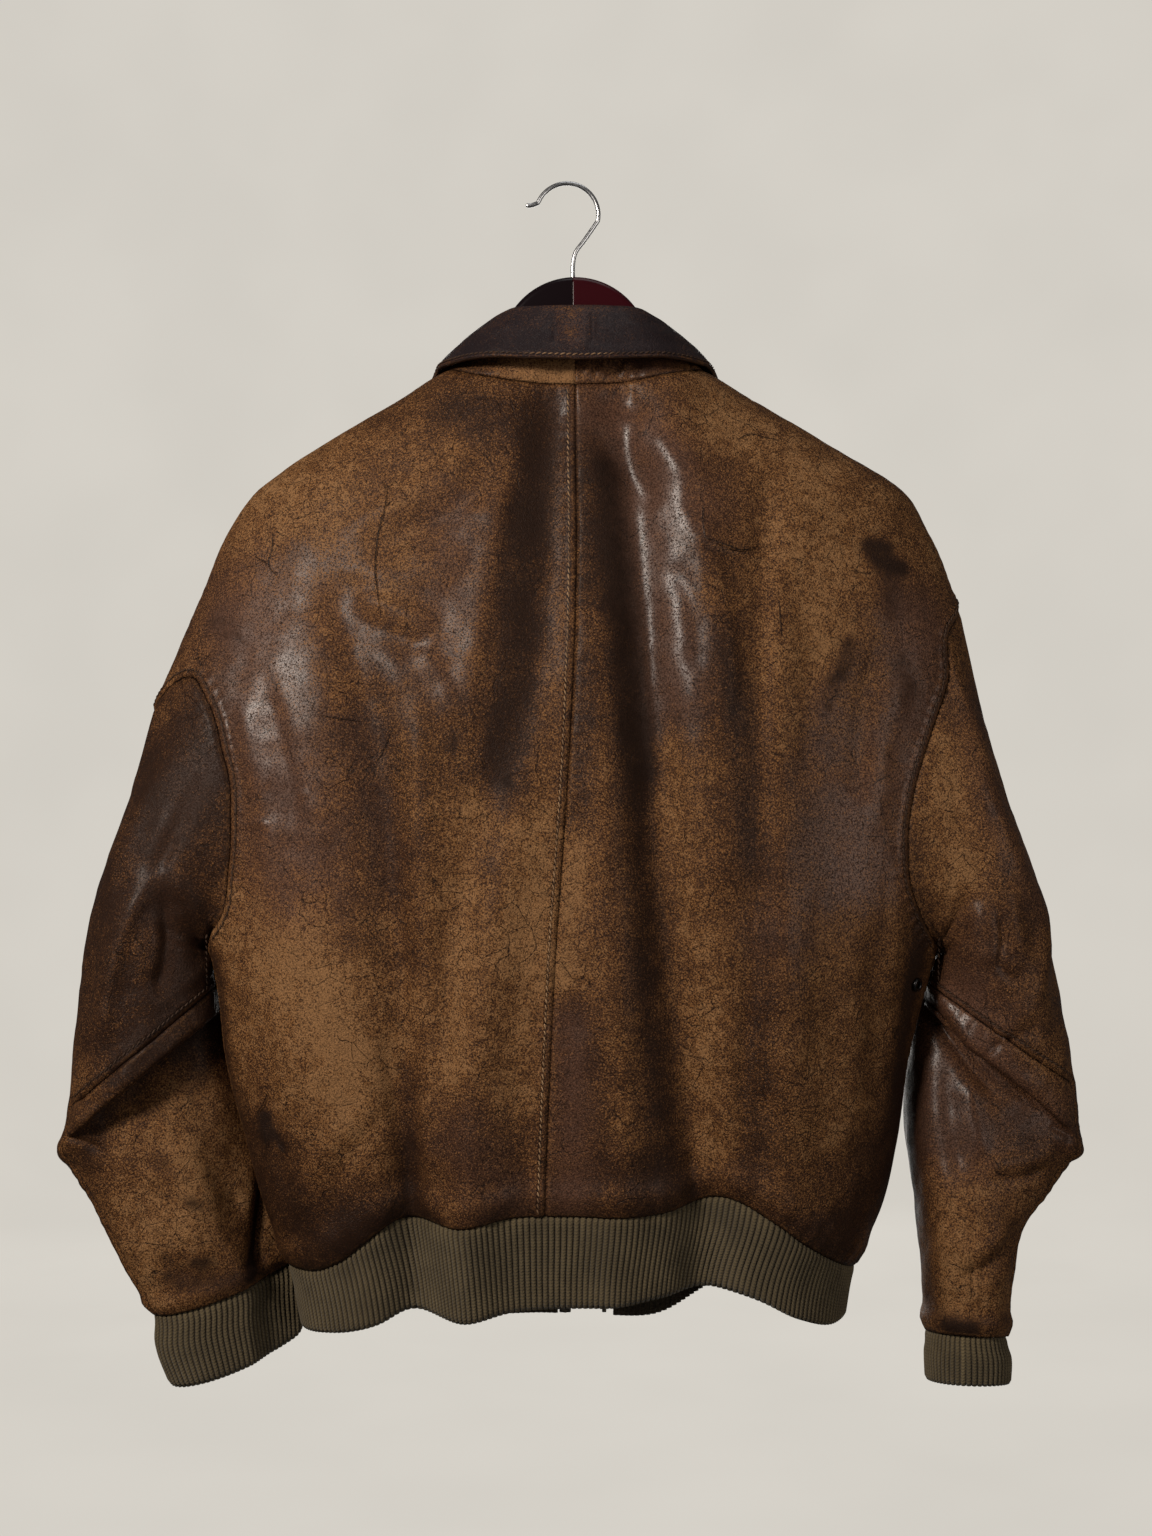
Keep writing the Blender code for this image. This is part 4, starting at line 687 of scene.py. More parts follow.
# Cracks in the finish of the back, as routes of (x, z), with the width of each.
CRACKS = (
    ("long left shoulder crack",
     ((-117, -211), (-118, -226), (-122, -240), (-124, -262), (-120, -296)), 0.45),
    ("its upper fork", ((-121, -208), (-117, -213), (-113, -209)), 0.4),
    ("branch of it", ((-118, -226), (-114, -222)), 0.35),
    ("crack by the left armhole", ((-194, -240), (-194, -252), (-196, -262), (-190, -270)), 0.4),
    ("its side branch", ((-196, -262), (-206, -256)), 0.3),
    ("torn corner, upright", ((88, -227), (88, -240), (89, -248)), 0.55),
    ("torn corner, level", ((89, -248), (102, -252), (114, -255), (124, -252)), 0.65),
    ("crack by the right shoulder", ((112, -180), (121, -176), (132, -178), (142, -180)), 0.45),
    ("crack in the left flank", ((-194, -606), (-197, -614), (-201, -621), (-200, -626)), 0.65),
    ("gouge", ((-197, -632), (-196, -644)), 1.1),
    ("nick beside the gouge", ((-188, -641), (-183, -646)), 0.7),
    ("nick left of the seam", ((-55, -388), (-52, -396)), 0.6),
    ("level nick", ((-158, -362), (-146, -364), (-132, -366)), 0.3),
    ("scratch", ((-73, -486), (-66, -481)), 0.45),
    ("small scratch", ((-108, -492), (-102, -496)), 0.4),
    ("upright scratch", ((137, -288), (138, -310)), 0.35),
    ("forked scratch", ((-112, -372), (-118, -386), (-122, -392)), 0.3),
)
LEFT_STAND_STROKES = table(Stroke, (
    ("whole", ((-90, -140), (10, -140)), 40, 0.25),
    ("outer end", ((-80, -128), (-50, -136)), 18, -0.45, 0, 0.2),
    ("tan", ((-36, -134), (-4, -137)), 14, 0.4, 0.15),
))
RIGHT_STAND_STROKES = table(Stroke, (
    ("whole", ((4, -140), (90, -138)), 40, -0.32, 0.2, 0.1),
    ("worn", ((12, -138), (40, -136)), 7, 0.3, 0.2),
))
STAND_CREASES = table(Crease, (
    ("pucker 1", ((12.8, -129), (13.4, -139)), 2.2, 2.2, 2.2),
    ("pucker 2", ((22.7, -129), (23.2, -140)), 1.9, 2.6, 2),
    ("pucker 3", ((39.8, -127), (38.6, -138)), 2.4, 2, 2.3),
    ("pucker 4", ((-20, -130), (-21, -140)), 3, 3, 0.9),
    ("pucker 5", ((-44, -128), (-46, -137)), 3, 2.4, 1.1),
))
COLLAR_STROKES = table(Stroke, (
    ("whole", ((-80, -110), (90, -110)), 60, -0.3),
    ("pressed", ((4, -100), (4, -114)), 9, 0.42, 0.1),
    ("fold", ((-50, -92), (55, -92)), 4, 0.22),
))
COLLAR_CREASES = table(Crease, (
    ("pressed left", ((-7, -94), (-7.5, -121)), 1.4, 2, -1.5),
    ("pressed right", ((17, -94), (17, -121)), 2, 1.4, -1.5),
    ("cluster 1", ((-3.5, -117), (15, -119)), 1.4, 1.4, 0.7),
    ("cluster 2", ((-2, -120), (14, -122)), 1.3, 1.3, 0.6),
    ("left sweep", ((-70, -110), (-30, -104)), 4, 3, 0.8),
    ("right sweep", ((35, -103), (72, -111)), 4, 3, 0.8),
))
SLEEVE_STROKES = {"left": LEFT_SLEEVE_STROKES, "right": RIGHT_SLEEVE_STROKES}
SLEEVE_CREASES = {"left": LEFT_SLEEVE_CREASES, "right": RIGHT_SLEEVE_CREASES}
STAND_STROKES = {"left": LEFT_STAND_STROKES, "right": RIGHT_STAND_STROKES}

# ---- sizes ---------------------------------------------------------------------------------------------
FINE_ROWS = 14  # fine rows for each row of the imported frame
FINE_COLUMNS = 6
SLEEVE_FINE_ROWS = 7
SLEEVE_FINE_COLUMNS = 10
SLEEVE_BACK_CELLS = 12
SLEEVE_FRONT_CELLS = 8
SLEEVE_ROWS_BETWEEN = (2, 2, 2, 1, 1, 1, 1, 1, 1, 1, 1, 2, 1, 1)
BACK_NECK_CELLS = 9
FRONT_NECK_CELLS = 5
SHOULDER_CELLS = 9
SIDE_CELLS = 4
RIB_COLUMNS = 8
STAND_ROWS = 10

LEATHER = 2.0  # thicknesses of the cloths
KNIT = 3.0
COLLAR = 2.6
TAPE = 1.0
SEAM_GAP = 0.3
SEAM_REACH = 30.0  # how far from a seam its marks are worked out
STITCH_LINE = 4.6  # from a seam to its row of stitches
LEAF_STITCH_LINE = 2.6
SEAM_DEPTH = 0.9  # how far the leather turns down into a seam
LAP_RISE = 0.55  # of the double edge on the upper side of a lapped seam
PUCKER_PITCH = 8.3
LEAF_EDGE_RISE = 0.35  # of the leaf's stitched edge, where it is doubled
LEAF_ROWS = (12, 34)  # from the neck up to the fold, and from the fold down to the edge
BAND_TURNS = (1.6, 1.5)  # how far a knitted band's top and its lower edge are drawn in
CRACK_TURNS = 6  # times that the leather's direction is evened out along a crack
LOOK_FROM_Y = -300  # well behind the jacket, where rays towards its back start
STITCHED_WIDTH = 9.0  # the strip beside a seam in which the stitches' channel may run
HEM_REACH = 40.0
STITCH_SLANT = 1.0  # sideways lean of a stitch, in thread widths
STITCH_SHARE = 0.86  # of the pitch that one stitch fills
THREAD_RISE = 0.3  # from the leather to the middle of the thread
KNIT_ROW = 0.0021  # metres from one row of the knit to the next
CUFF_SEAM_X = 261.0
ZIP_OPENING = 42.0
CENTRE_X = 5.5
FRONT_END_X = 13.5
CHAIN_END = {"left": -750.0, "right": -762.0}
CHAIN_WIDTH = 8.0
TOOTH = (3.4, 1.5, 2.4)  # across the chain, along it and through it
EYELET_PLACE = (229, -538)
EYELET_DIAMETER = 9.3
EYELET_WIRE = 2.5
HOOK_WIRE = 3.0
HOOK_RADIUS = 21.3
HOOK_SHANK_X = 4.0
HANGER_THICK = 10.0
HANGER_TIP_RADIUS = 10.0
HANGER_CLEARANCE = 5.0
HANGER_LOWER_Z = -158.0
HANGER_Y = -3.0
ARM_INNER_Z = -143.0
ARM_OUTER_Z = -203.0
DOME_RADIUS = 51.0
DOME_TOP_Z = -63.0

# The small unevenness of each cloth, as rows of (height, size, seed).
RUMPLES = {
    "panel": ((0.7, 27.0, 0.0), (0.4, 12.0, 7.0)),
    "sleeve": ((0.9, 24.0, 3.0), (0.7, 12.0, 11.0)),
    "knit": ((0.8, 30.0, 5.0),),
    "stand": ((0.35, 12.0, 4.0),),
    "leaf": ((0.5, 26.0, 9.0), (0.25, 9.0, 2.0)),
}
# How leather rolls out above a knitted band: the roll's height, its place above the seam and its width, and
# how deep and wide the leather's turn into the seam is.
Blouse = namedtuple("Blouse", "rise place width turned turn")
PANEL_BLOUSE = Blouse(2.6, 13, 9, 1.6, 4)
SLEEVE_BLOUSE = Blouse(2.6, 8, 6, 1.2, 3)
# Across a crack: places from its middle, in shares of its width, and how high the leather stands there.
CRACK_OFFSETS = np.array([-2.6, -1.6, -0.9, -0.35, 0, 0.35, 0.9, 1.6, 2.6])
CRACK_HEIGHTS = np.array([-0.16, 0.12, 0.34, 0.3, -0.02, 0.3, 0.34, 0.12, -0.16])
CRACK_THICK = 0.3


# ---- lift: how far the cloth stands off its form -------------------------------------------------------
def hill(value, width):
    """1 where value is 0, and 0 well away from it."""
    return np.exp(-((value / width) ** 2))


def turn_in(far, width):
    """1 at an edge, falling to 0 at that width from it."""
    return np.clip(1 - far / width, 0, 1) ** 2


def to_route(route, x, z):
    """How far each (x, z) is from a route, whether it lies above it or to its right, and how far along."""
    route = np.array(route, float)
    if len(route) > 2:
        route = through(route, np.linspace(0, 1, 4 * len(route) - 3))
    nearest = np.full(x.shape, np.inf)
    over = np.zeros(x.shape, bool)
    share = np.zeros(x.shape)
    for index, (start, way) in enumerate(zip(route[:-1], np.diff(route, axis=0))):
        part = np.clip(((x - start[0]) * way[0] + (z - start[1]) * way[1]) / (way @ way), 0, 1)
        off_x, off_z = x - start[0] - part * way[0], z - start[1] - part * way[1]
        far = np.hypot(off_x, off_z)
        nearer = far < nearest
        nearest = np.where(nearer, far, nearest)
        over = np.where(nearer, way[0] * off_z - way[1] * off_x > 0, over)
        share = np.where(nearer, (index + part) / (len(route) - 1), share)
    return nearest, over, share


def relief(creases, x, z):
    """How far a table of creases lifts the leather."""
    lift = np.zeros(x.shape)
    for crease in creases:
        far, over, share = to_route(crease.route, x, z)
        ends = step(0, 0.22, share) * (1 - step(0.78, 1, share))
        lift += crease.lift * ends**0.7 * hill(far, np.where(over, crease.over, crease.under))
    return lift


def painted(strokes, x, z, edge, stitched=0.0):
    """The layers of a leather: how worn, red and stained a table of strokes makes it, how far it is from
    its seams and whether stitches run there. The kept finish and the blots also carry the strokes' painted
    shade in hollows and at edges that turn away, and the red in glossy patches partly a painted reflection."""
    layers = {"wear": np.full(x.shape, BASE_WEAR), "red": np.zeros(x.shape), "stain": np.zeros(x.shape)}
    for stroke in strokes:
        touch = hill(to_route(stroke.route, x, z)[0], stroke.width)
        for name in layers:
            layers[name] += getattr(stroke, name) * touch
    layers = {name: np.clip(value, 0, 1) for name, value in layers.items()}
    return {**layers, "edge": edge, "stitched": np.broadcast_to(stitched, x.shape)}


def rumple(cloth, points):
    """The small unevenness of a cloth at points."""
    lift = 0
    for height, size, seed in RUMPLES[cloth]:
        flat = points.reshape(-1, 3) / size + seed
        lift = lift + height * np.array([noise.noise(Vector(point)) for point in flat])
    return lift.reshape(points.shape[:-1])


def dense(line, gap=0.8):
    """A line's points, filled in to a small even gap."""
    line = np.asarray(line, float)
    length = lengths(line)
    at = np.linspace(0, length[-1], max(int(length[-1] / gap), 2))
    return np.stack([np.interp(at, length, line[:, axis]) for axis in range(3)], axis=-1), at


def beside(points, lines, reach=SEAM_REACH):
    """How far points are from the nearest of some lines, up to reach, and how far along it they are."""
    samples, along = (np.concatenate(parts) for parts in zip(*[dense(line) for line in lines]))
    tree = KDTree(len(samples))
    for index, sample in enumerate(samples):
        tree.insert(sample, index)
    tree.balance()
    flat = points.reshape(-1, 3)
    far, place = np.full(len(flat), reach), np.zeros(len(flat))
    for index, point in enumerate(flat):
        _, found, distance = tree.find(point)
        if distance < reach:
            far[index], place[index] = distance, along[found]
    return far.reshape(points.shape[:-1]), place.reshape(points.shape[:-1])


def seam(points, lines, lapped, pucker, reach=SEAM_REACH):
    """How far points are from a seam, and how it lifts the leather: the turn into it, the double edge where
    it is lapped, and the puckers along it."""
    far, along = beside(points, lines, reach)
    double = LAP_RISE * step(1.5, 3.0, far) * (1 - step(6.5, 9.0, far)) * lapped
    phase = along * 2 * math.pi / PUCKER_PITCH + 2.1 * np.sin(along / 19.0)
    wave = np.sin(phase) * (0.6 + 0.4 * np.sin(along / 31.0))
    gathers = pucker * wave * step(0.5, 4.0, far) * (1 - step(6.0, 15.0, far))
    return far, double + gathers - SEAM_DEPTH * turn_in(far, 2.0)


def bloused(far, blouse):
    """The leather's roll over a knitted band, from how far it is from the band's seam."""
    return blouse.rise * hill(far - blouse.place, blouse.width) - blouse.turned * turn_in(far, blouse.turn)


def behind(normals, low, high):
    """1 where a surface faces the back."""
    return step(low, high, -normals[..., 1])


def moved(points, normals, lift):
    """A grid pushed out along its normals."""
    return points + normals * lift[..., None]


def surface_normals(points, normals, closed=False):
    """The fine normals of a displaced grid, with its edge rows kept near the shared ones."""
    fine = grid_normals(points, closed)
    if (fine * normals).sum() < 0:
        fine = -fine
    fine[[0, -1]] = unit(fine[[0, -1]] + 2 * normals[[0, -1]])
    if not closed:
        fine[:, [0, -1]] = unit(fine[:, [0, -1]] + 2 * normals[:, [0, -1]])
    return fine


# ---- meshes --------------------------------------------------------------------------------------------
Cloth = namedtuple("Cloth", "points normals layers")


def grid_faces(rows, columns, closed=False, keep=True):
    """The kept cells of a grid of points, as faces."""
    row, column = np.nonzero(np.broadcast_to(keep, (rows - 1, columns if closed else columns - 1)))
    here, after = row * columns, (column + 1) % columns
    return np.stack([here + column, here + after, here + columns + after, here + columns + column], axis=1)


def wall(name, cloth, thickness, material, keep=True, closed=False):
    """A thin shell about the kept cells of a grid, with its layers as attributes. Its two faces are thickness
    apart and its rim is closed."""
    points, normals, layers = cloth
    total = points.shape[0] * points.shape[1]
    quads = grid_faces(*points.shape[:2], closed, keep)
    edges = np.concatenate([quads[:, [i, (i + 1) % 4]] for i in range(4)])
    rim = edges[~np.isin(edges @ (1, total), edges @ (total, 1))]
    used, place = np.unique(quads, return_inverse=True)
    place = place.reshape(quads.shape)
    index = np.full(total, -1)
    index[used] = np.arange(len(used))
    count = len(used)
    flat, facing = points.reshape(-1, 3)[used], normals.reshape(-1, 3)[used]
    solid = np.concatenate([flat + facing * thickness / 2, flat - facing * thickness / 2])
    start, end = index[rim].T
    sides = np.stack([end, start, start + count, end + count], axis=1)
    faces = np.concatenate([place, place[:, ::-1] + count, sides])
    a, b, c, d = (solid[faces[:, i]] for i in range(4))
    volume = np.einsum("ij,ij->i", a, np.cross(b, c)) + np.einsum("ij,ij->i", a, np.cross(c, d))
    if volume.sum() < 0:
        faces = faces[:, ::-1]
    sheets = {key: np.concatenate([value.reshape(-1)[used]] * 2) for key, value in layers.items()}
    sheets["inside"] = np.repeat([0.0, 1.0], count)
    return mesh_object(name, solid, faces, material, sheets)


def mesh_object(name, points, faces, material, layers=()):
    """A smooth mesh object from points in millimetres and faces of equal count, with float attributes."""
    mesh = bpy.data.meshes.new(name)
    mesh.vertices.add(len(points))
    mesh.vertices.foreach_set("co", np.asarray(points * MM, np.float32).ravel())
    mesh.loops.add(faces.size)
    mesh.loops.foreach_set("vertex_index", faces.ravel().astype(np.int32))
    mesh.polygons.add(len(faces))
    mesh.polygons.foreach_set("loop_start", np.arange(0, faces.size, faces.shape[1], dtype=np.int32))
    mesh.update(calc_edges=True)
    mesh.shade_smooth()
    for key, value in dict(layers).items():
        mesh.attributes.new(key, "FLOAT", "POINT").data.foreach_set("value", value.astype(np.float32))
    mesh.validate()
    mesh.materials.append(material)
    return link(bpy.data.objects.new(name, mesh))


def link(thing):
    """Puts an object in the scene."""
    bpy.context.scene.collection.objects.link(thing)
    return thing


def from_bmesh(name, bm, material):
    """A smooth object from a bmesh in metres."""
    bmesh.ops.recalc_face_normals(bm, faces=bm.faces)
    mesh = bpy.data.meshes.new(name)
    bm.to_mesh(mesh)
    bm.free()
    mesh.shade_smooth()
    mesh.materials.append(material)
    return link(bpy.data.objects.new(name, mesh))


def applied(thing):
    """The object as a plain mesh, with its modifiers worked in."""
    bpy.context.view_layer.update()
    graph = bpy.context.evaluated_depsgraph_get()
    mesh = bpy.data.meshes.new_from_object(thing.evaluated_get(graph), depsgraph=graph)
    name = thing.name
    mesh.name = name
    bpy.data.objects.remove(thing)
    return link(bpy.data.objects.new(name, mesh))


def worn_by(thing, node):
    """Makes a piece ride on the jacket's body and stand for its CAD node."""
    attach(thing, "jacket")
    if node:
        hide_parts(node)


# ---- node trees ----------------------------------------------------------------------------------------
class Signal:
    """A node's output that takes part in Python arithmetic. Each step adds a Math node."""

    def __init__(self, graph, socket):
        self.graph, self.socket = graph, socket

    def maths(self, operation, *values, clamp=False):
        settings = {"operation": operation, "use_clamp": clamp}
        return self.graph.signal("ShaderNodeMath", settings, dict(enumerate(values)))

    def __add__(self, other):
        return self.maths("ADD", self, other)

    def __sub__(self, other):
        return self.maths("SUBTRACT", self, other)

    def __rsub__(self, other):
        return self.maths("SUBTRACT", other, self)

    def __mul__(self, other):
        return self.maths("MULTIPLY", self, other)

    def __neg__(self):
        return self.maths("MULTIPLY", self, -1.0)

    def __pow__(self, other):
        return self.maths("POWER", self, other)

    def __abs__(self):
        return self.maths("ABSOLUTE", self)

    __radd__, __rmul__ = __add__, __mul__

    def between(self, low, high):
        """A smooth rise from 0, at low, to 1, at high."""
        values = {"Value": self, "From Min": low, "From Max": high}
        return self.graph.signal("ShaderNodeMapRange", {"interpolation_type": "SMOOTHSTEP"}, values)

    def clamped(self):
        return self.maths("ADD", self, 0.0, clamp=True)


class Graph:
    """A node tree that is filled from Python."""

    def __init__(self, tree):
        self.tree = tree

    def node(self, kind, settings=(), inputs=()):
        made = self.tree.nodes.new(kind)
        for key, value in dict(settings).items():
            setattr(made, key, value)
        for key, value in dict(inputs).items():
            if isinstance(value, Signal):
                self.tree.links.new(value.socket, made.inputs[key])
            else:
                made.inputs[key].default_value = value
        return made

    def signal(self, kind, settings=(), inputs=(), output=0):
        return Signal(self, self.node(kind, settings, inputs).outputs[output])

    def attribute(self, name, kind):
        return self.signal("GeometryNodeInputNamedAttribute", {"data_type": kind}, {"Name": name})

    def vector_maths(self, operation, first, second):
        return self.signal("ShaderNodeVectorMath", {"operation": operation}, {0: first, 1: second})


class Shading(Graph):
    """A material's nodes, round the one shader that it is made with."""

    def __init__(self, name, **fixed):
        self.material = bpy.data.materials.new(name)
        self.material.use_nodes = True
        super().__init__(self.material.node_tree)
        self.shader = self.tree.nodes["Principled BSDF"]
        for key, value in fixed.items():
            self.shader.inputs[key.replace("_", " ")].default_value = value
        self.place = self.signal("ShaderNodeTexCoord", output="Object")

    def drive(self, key, value):
        self.tree.links.new(value.socket, self.shader.inputs[key])

    def layer(self, name):
        return self.signal("ShaderNodeAttribute", {"attribute_name": name}, output="Fac")

    def part_of(self, vector, axis):
        return self.signal("ShaderNodeSeparateXYZ", {}, {"Vector": vector}, output="XYZ".index(axis))

    def stretched(self, scale):
        return self.signal("ShaderNodeMapping", {}, {"Vector": self.place, "Scale": scale})

    def noise(self, scale, detail, rough, at=None):
        """Noise about zero, mostly from -0.25 to 0.25."""
        values = {"Vector": at or self.place, "Scale": scale, "Detail": detail, "Roughness": rough}
        return self.signal("ShaderNodeTexNoise", {}, values) - 0.5

    def net(self, scale, push, push_scale):
        """How far the surface is from the edges of cells, pushed about by noise: a net of fine lines."""
        values = {"Vector": self.place, "Scale": push_scale, "Detail": 2.0}
        pushed = self.signal("ShaderNodeTexNoise", {}, values, output=1)
        pushed = self.vector_maths("SUBTRACT", pushed, (0.5, 0.5, 0.5))
        pushed = self.vector_maths("MULTIPLY", pushed, (push, push, push))
        values = {"Vector": self.vector_maths("ADD", self.place, pushed), "Scale": scale}
        return self.signal("ShaderNodeTexVoronoi", {"feature": "DISTANCE_TO_EDGE"}, values)

    def blend(self, share, first, second):
        """first where share is 0, second where it is 1. Both are colours."""
        values = {0: share}
        for socket, colour in ((6, first), (7, second)):
            values[socket] = colour if isinstance(colour, Signal) else (*tuple(colour)[:3], 1.0)
        return self.signal("ShaderNodeMix", {"data_type": "RGBA"}, values, output=2)

    def bumps(self, height, strength=1.0):
        """Height is in millimetres."""
        values = {"Height": height, "Strength": strength, "Distance": MM}
        self.drive("Normal", self.signal("ShaderNodeBump", {}, values))


# ---- materials -----------------------------------------------------------------------------------------
def leather(name, tones, polish=0.0, darker=0.0, gloss=0.09):
    """Worn leather: a dark finish that stays in the valleys of the grain and is rubbed off its pebbles down
    to the tan under it, with fine wrinkles, blots and grime in its seams. The blots and the kept finish also
    stand for painted shade where the stroke tables darken hollows, the undersides of folds and edges that
    turn away from the lamps, and the plum tint is partly a painted reflection of the sheen. Its inner side is
    matt."""
    work = Shading(name, Specular_IOR_Level=gloss, Coat_Roughness=0.33, Coat_IOR=1.5)
    worn, red, stain, edge, stitched, inside = (
        work.layer(key) for key in ("wear", "red", "stain", "edge", "stitched", "inside"))
    streaks = work.noise(13.0, 3.0, 0.6, work.stretched((1.0, 1.0, 0.2)))
    clouds = work.noise(32.0, 5.0, 0.62)
    mottle = work.noise(150.0, 4.0, 0.68)
    specks = work.noise(880.0, 2.0, 0.7)
    grain = (0.42 - specks * 4.6).clamped()
    pebbles = work.net(640.0, 0.0016, 420.0).between(0.02, 0.40)
    crinkles = work.net(250.0, 0.005, 180.0).between(0.0, 0.14)
    folds = (1.0 - work.net(58.0, 0.014, 42.0).between(0.0, 0.025)) * clouds.between(-0.05, 0.1)

    # the rubbed share, which the tables push down where they paint shade in hollows and at edges
    worn = worn + streaks * 0.9 + clouds * 1.1 + mottle * 0.75 - darker
    rubbed = (worn * 0.74 + (pebbles - 0.5) * 0.3 + specks * 1.9).between(0.12, 0.66)
    pale = (worn + mottle * 0.8 + specks * 0.9).between(0.52, 1.0)
    colour = work.blend((worn * 0.8 + specks * 1.2).between(-0.1, 0.45), tones.dark, tones.brown)
    colour = work.blend(rubbed, colour, tones.tan)
    colour = work.blend(pale * 0.72, colour, tones.pale)
    # plum tint: partly the leather's reddish cast, partly a painted reflection of the sheen in glossy patches
    colour = work.blend((red * (0.75 - rubbed * 0.3)).clamped(), colour, tones.plum)
    # blots: real stains, and the painted shade that the tables put in hollows, under folds and at edges
    blot = (stain * 1.2 + mottle * 1.1 + specks * 0.9).between(0.14, 0.8)
    colour = work.blend(blot * 0.85, colour, tones.blot)

    valley = (1.0 - pebbles) * 0.16 + (1.0 - crinkles) * 0.09
    groove = 1.0 - edge.between(0.1, 0.9)
    lip = edge.between(0.9, 1.8) * (1.0 - edge.between(2.4, 3.6))
    channel = (1.0 - abs(edge - STITCH_LINE).between(0.3, 1.4)) * stitched
    colour = work.blend(lip * mottle.between(-0.12, 0.1) * 0.25, colour, tones.tan)
    dirt = valley + grain * (0.60 - rubbed * 0.22) + groove * 0.6 + channel * 0.4 + folds * 0.45
    colour = work.blend(dirt.clamped(), colour, tones.blot)
    work.drive("Base Color", work.blend(inside, colour, tones.inside))
    matt = rubbed * 0.2 + blot * 0.2 + mottle * 0.3 + grain * 0.15 + (0.42 - polish)
    work.drive("Roughness", (matt + inside * 0.5).clamped())
    shine = (1.0 - rubbed) * (1.0 - blot) * (1.0 - grain)
    work.drive("Coat Weight", (shine * (red * 0.8 + (0.08 + polish)) * (1.0 - inside)).clamped())
    height = pebbles * 0.14 + crinkles * 0.12 + mottle * 0.3 + specks * 0.5 - folds * 0.3
    work.bumps(height - channel * 0.25 - groove * 0.2)
    return work.material


def knitted(tones):
    """Ribbed wool knit: rows of small stitches up each rib, darker between the ribs, with a little fuzz."""
    work = Shading("ribbed knit", Specular_IOR_Level=0.15, Sheen_Weight=0.1, Sheen_Roughness=0.6,
                   Roughness=0.92)
    rib, joined = work.layer("rib"), work.layer("joined")
    along = work.part_of(work.signal("ShaderNodeUVMap", {"uv_map": "cloth"}), "Y")
    across = abs(rib - rib.maths("ROUND", rib))
    phase = along * (2 * math.pi / KNIT_ROW) + across * 5.0
    rows = phase.maths("SINE", phase)
    clouds = work.noise(40.0, 3.0, 0.6)
    fuzz = work.noise(900.0, 3.0, 0.7)
    colour = work.blend(clouds.between(-0.15, 0.15), tones.knit_dark, tones.knit)
    colour = work.blend((rows * 0.16 + 0.16 + fuzz * 0.6).clamped(), colour, tones.knit_pale)
    colour = work.blend((across.between(0.2, 0.5) * 0.85).clamped(), colour, tones.knit_shade)
    work.drive("Base Color", work.blend((joined * (rows * 0.3 + 0.6)).clamped(), colour, tones.knit_pale))
    work.bumps(rows * 0.16 + fuzz * 0.3, 0.8)
    return work.material


def lacquered(tones):
    """Dark crimson lacquer over wood, in two halves that meet in the middle."""
    work = Shading("lacquered wood", Roughness=0.28, Specular_IOR_Level=0.15, Coat_Weight=0.1,
                   Coat_Roughness=0.1)
    grain = work.noise(90.0, 4.0, 0.6, work.stretched((0.12, 1.0, 1.0)))
    side = work.part_of(work.place, "X")
    colour = work.blend(side.between(0.0035, 0.0045), tones.wood_dark, tones.wood)
    work.drive("Base Color", work.blend(grain.between(0.0, 0.25) * 0.5, colour, tones.wood_dark))
    work.bumps(grain * 0.05 + abs(side - 0.004).between(0.0, 0.0006) * 0.2)
    return work.material


def metal(name, colour, rough, worn_colour):
    """Metal with faint scratches, tarnished in patches."""
    work = Shading(name, Metallic=1.0)
    patches = work.noise(220.0, 4.0, 0.65)
    scratches = work.noise(900.0, 2.0, 0.5, work.stretched((1.0, 1.0, 0.15)))
    work.drive("Base Color", work.blend(patches.between(-0.12, 0.15), colour, worn_colour))
    work.drive("Roughness", (patches * 0.35 + scratches * 0.15 + rough).clamped())
    work.bumps(scratches * 0.03 + patches * 0.03)
    return work.material


def twill_tape(tones):
    """The zip's woven cotton tape."""
    work = Shading("zip tape", Specular_IOR_Level=0.2, Roughness=0.9)
    weave = work.signal("ShaderNodeTexWave", {"wave_type": "BANDS", "bands_direction": "DIAGONAL"},
                        {"Vector": work.place, "Scale": 260.0, "Distortion": 1.0})
    dust = work.noise(120.0, 3.0, 0.6)
    work.drive("Base Color", work.blend((weave * 0.5 + dust).clamped(), tones.tape, tones.tape_worn))
    work.bumps(weave * 0.15)
    return work.material


def sewing_thread(tones):
    """Waxed thread, pale down the centre back and as dark as the leather on every other seam."""
    work = Shading("thread", Specular_IOR_Level=0.2, Roughness=0.7)
    grime = work.noise(45.0, 3.0, 0.6)
    clean = 1.0 - abs(work.part_of(work.place, "X")).between(0.018, 0.034)
    pale = work.blend(grime.between(-0.12, 0.12), tones.thread_dark, tones.thread)
    work.drive("Base Color", work.blend(clean, tones.thread_grimy, pale))
    work.bumps(work.noise(1500.0, 1.0, 0.5) * 0.1)
    return work.material


# ---- rows of copies, and ribs --------------------------------------------------------------------------
def nodes_group(name, inputs):
    """An empty Geometry Nodes tree with named inputs, given as (name, kind, default)."""
    tree = bpy.data.node_groups.new(name, "GeometryNodeTree")
    for label, kind, default in (("Geometry", "Geometry", None), *inputs, ("Material", "Material", None)):
        socket = tree.interface.new_socket(label, in_out="INPUT", socket_type=f"NodeSocket{kind}")
        if default is not None:
            socket.default_value = default
    tree.interface.new_socket("Geometry", in_out="OUTPUT", socket_type="NodeSocketGeometry")
    graph = Graph(tree)
    given = graph.node("NodeGroupInput")
    return graph, {socket.name: Signal(graph, socket) for socket in given.outputs if socket.name}


def end_group(graph, geometry, material):
    """Ends a tree with smooth shading, Realize Instances and Set Material."""
    real = graph.signal("GeometryNodeRealizeInstances", {}, {0: geometry})
    smooth_one = graph.signal("GeometryNodeSetShadeSmooth", {}, {0: real})
    finished = graph.signal("GeometryNodeSetMaterial", {}, {"Geometry": smooth_one, "Material": material})
    graph.node("NodeGroupOutput", {}, {0: finished})
    return graph.tree


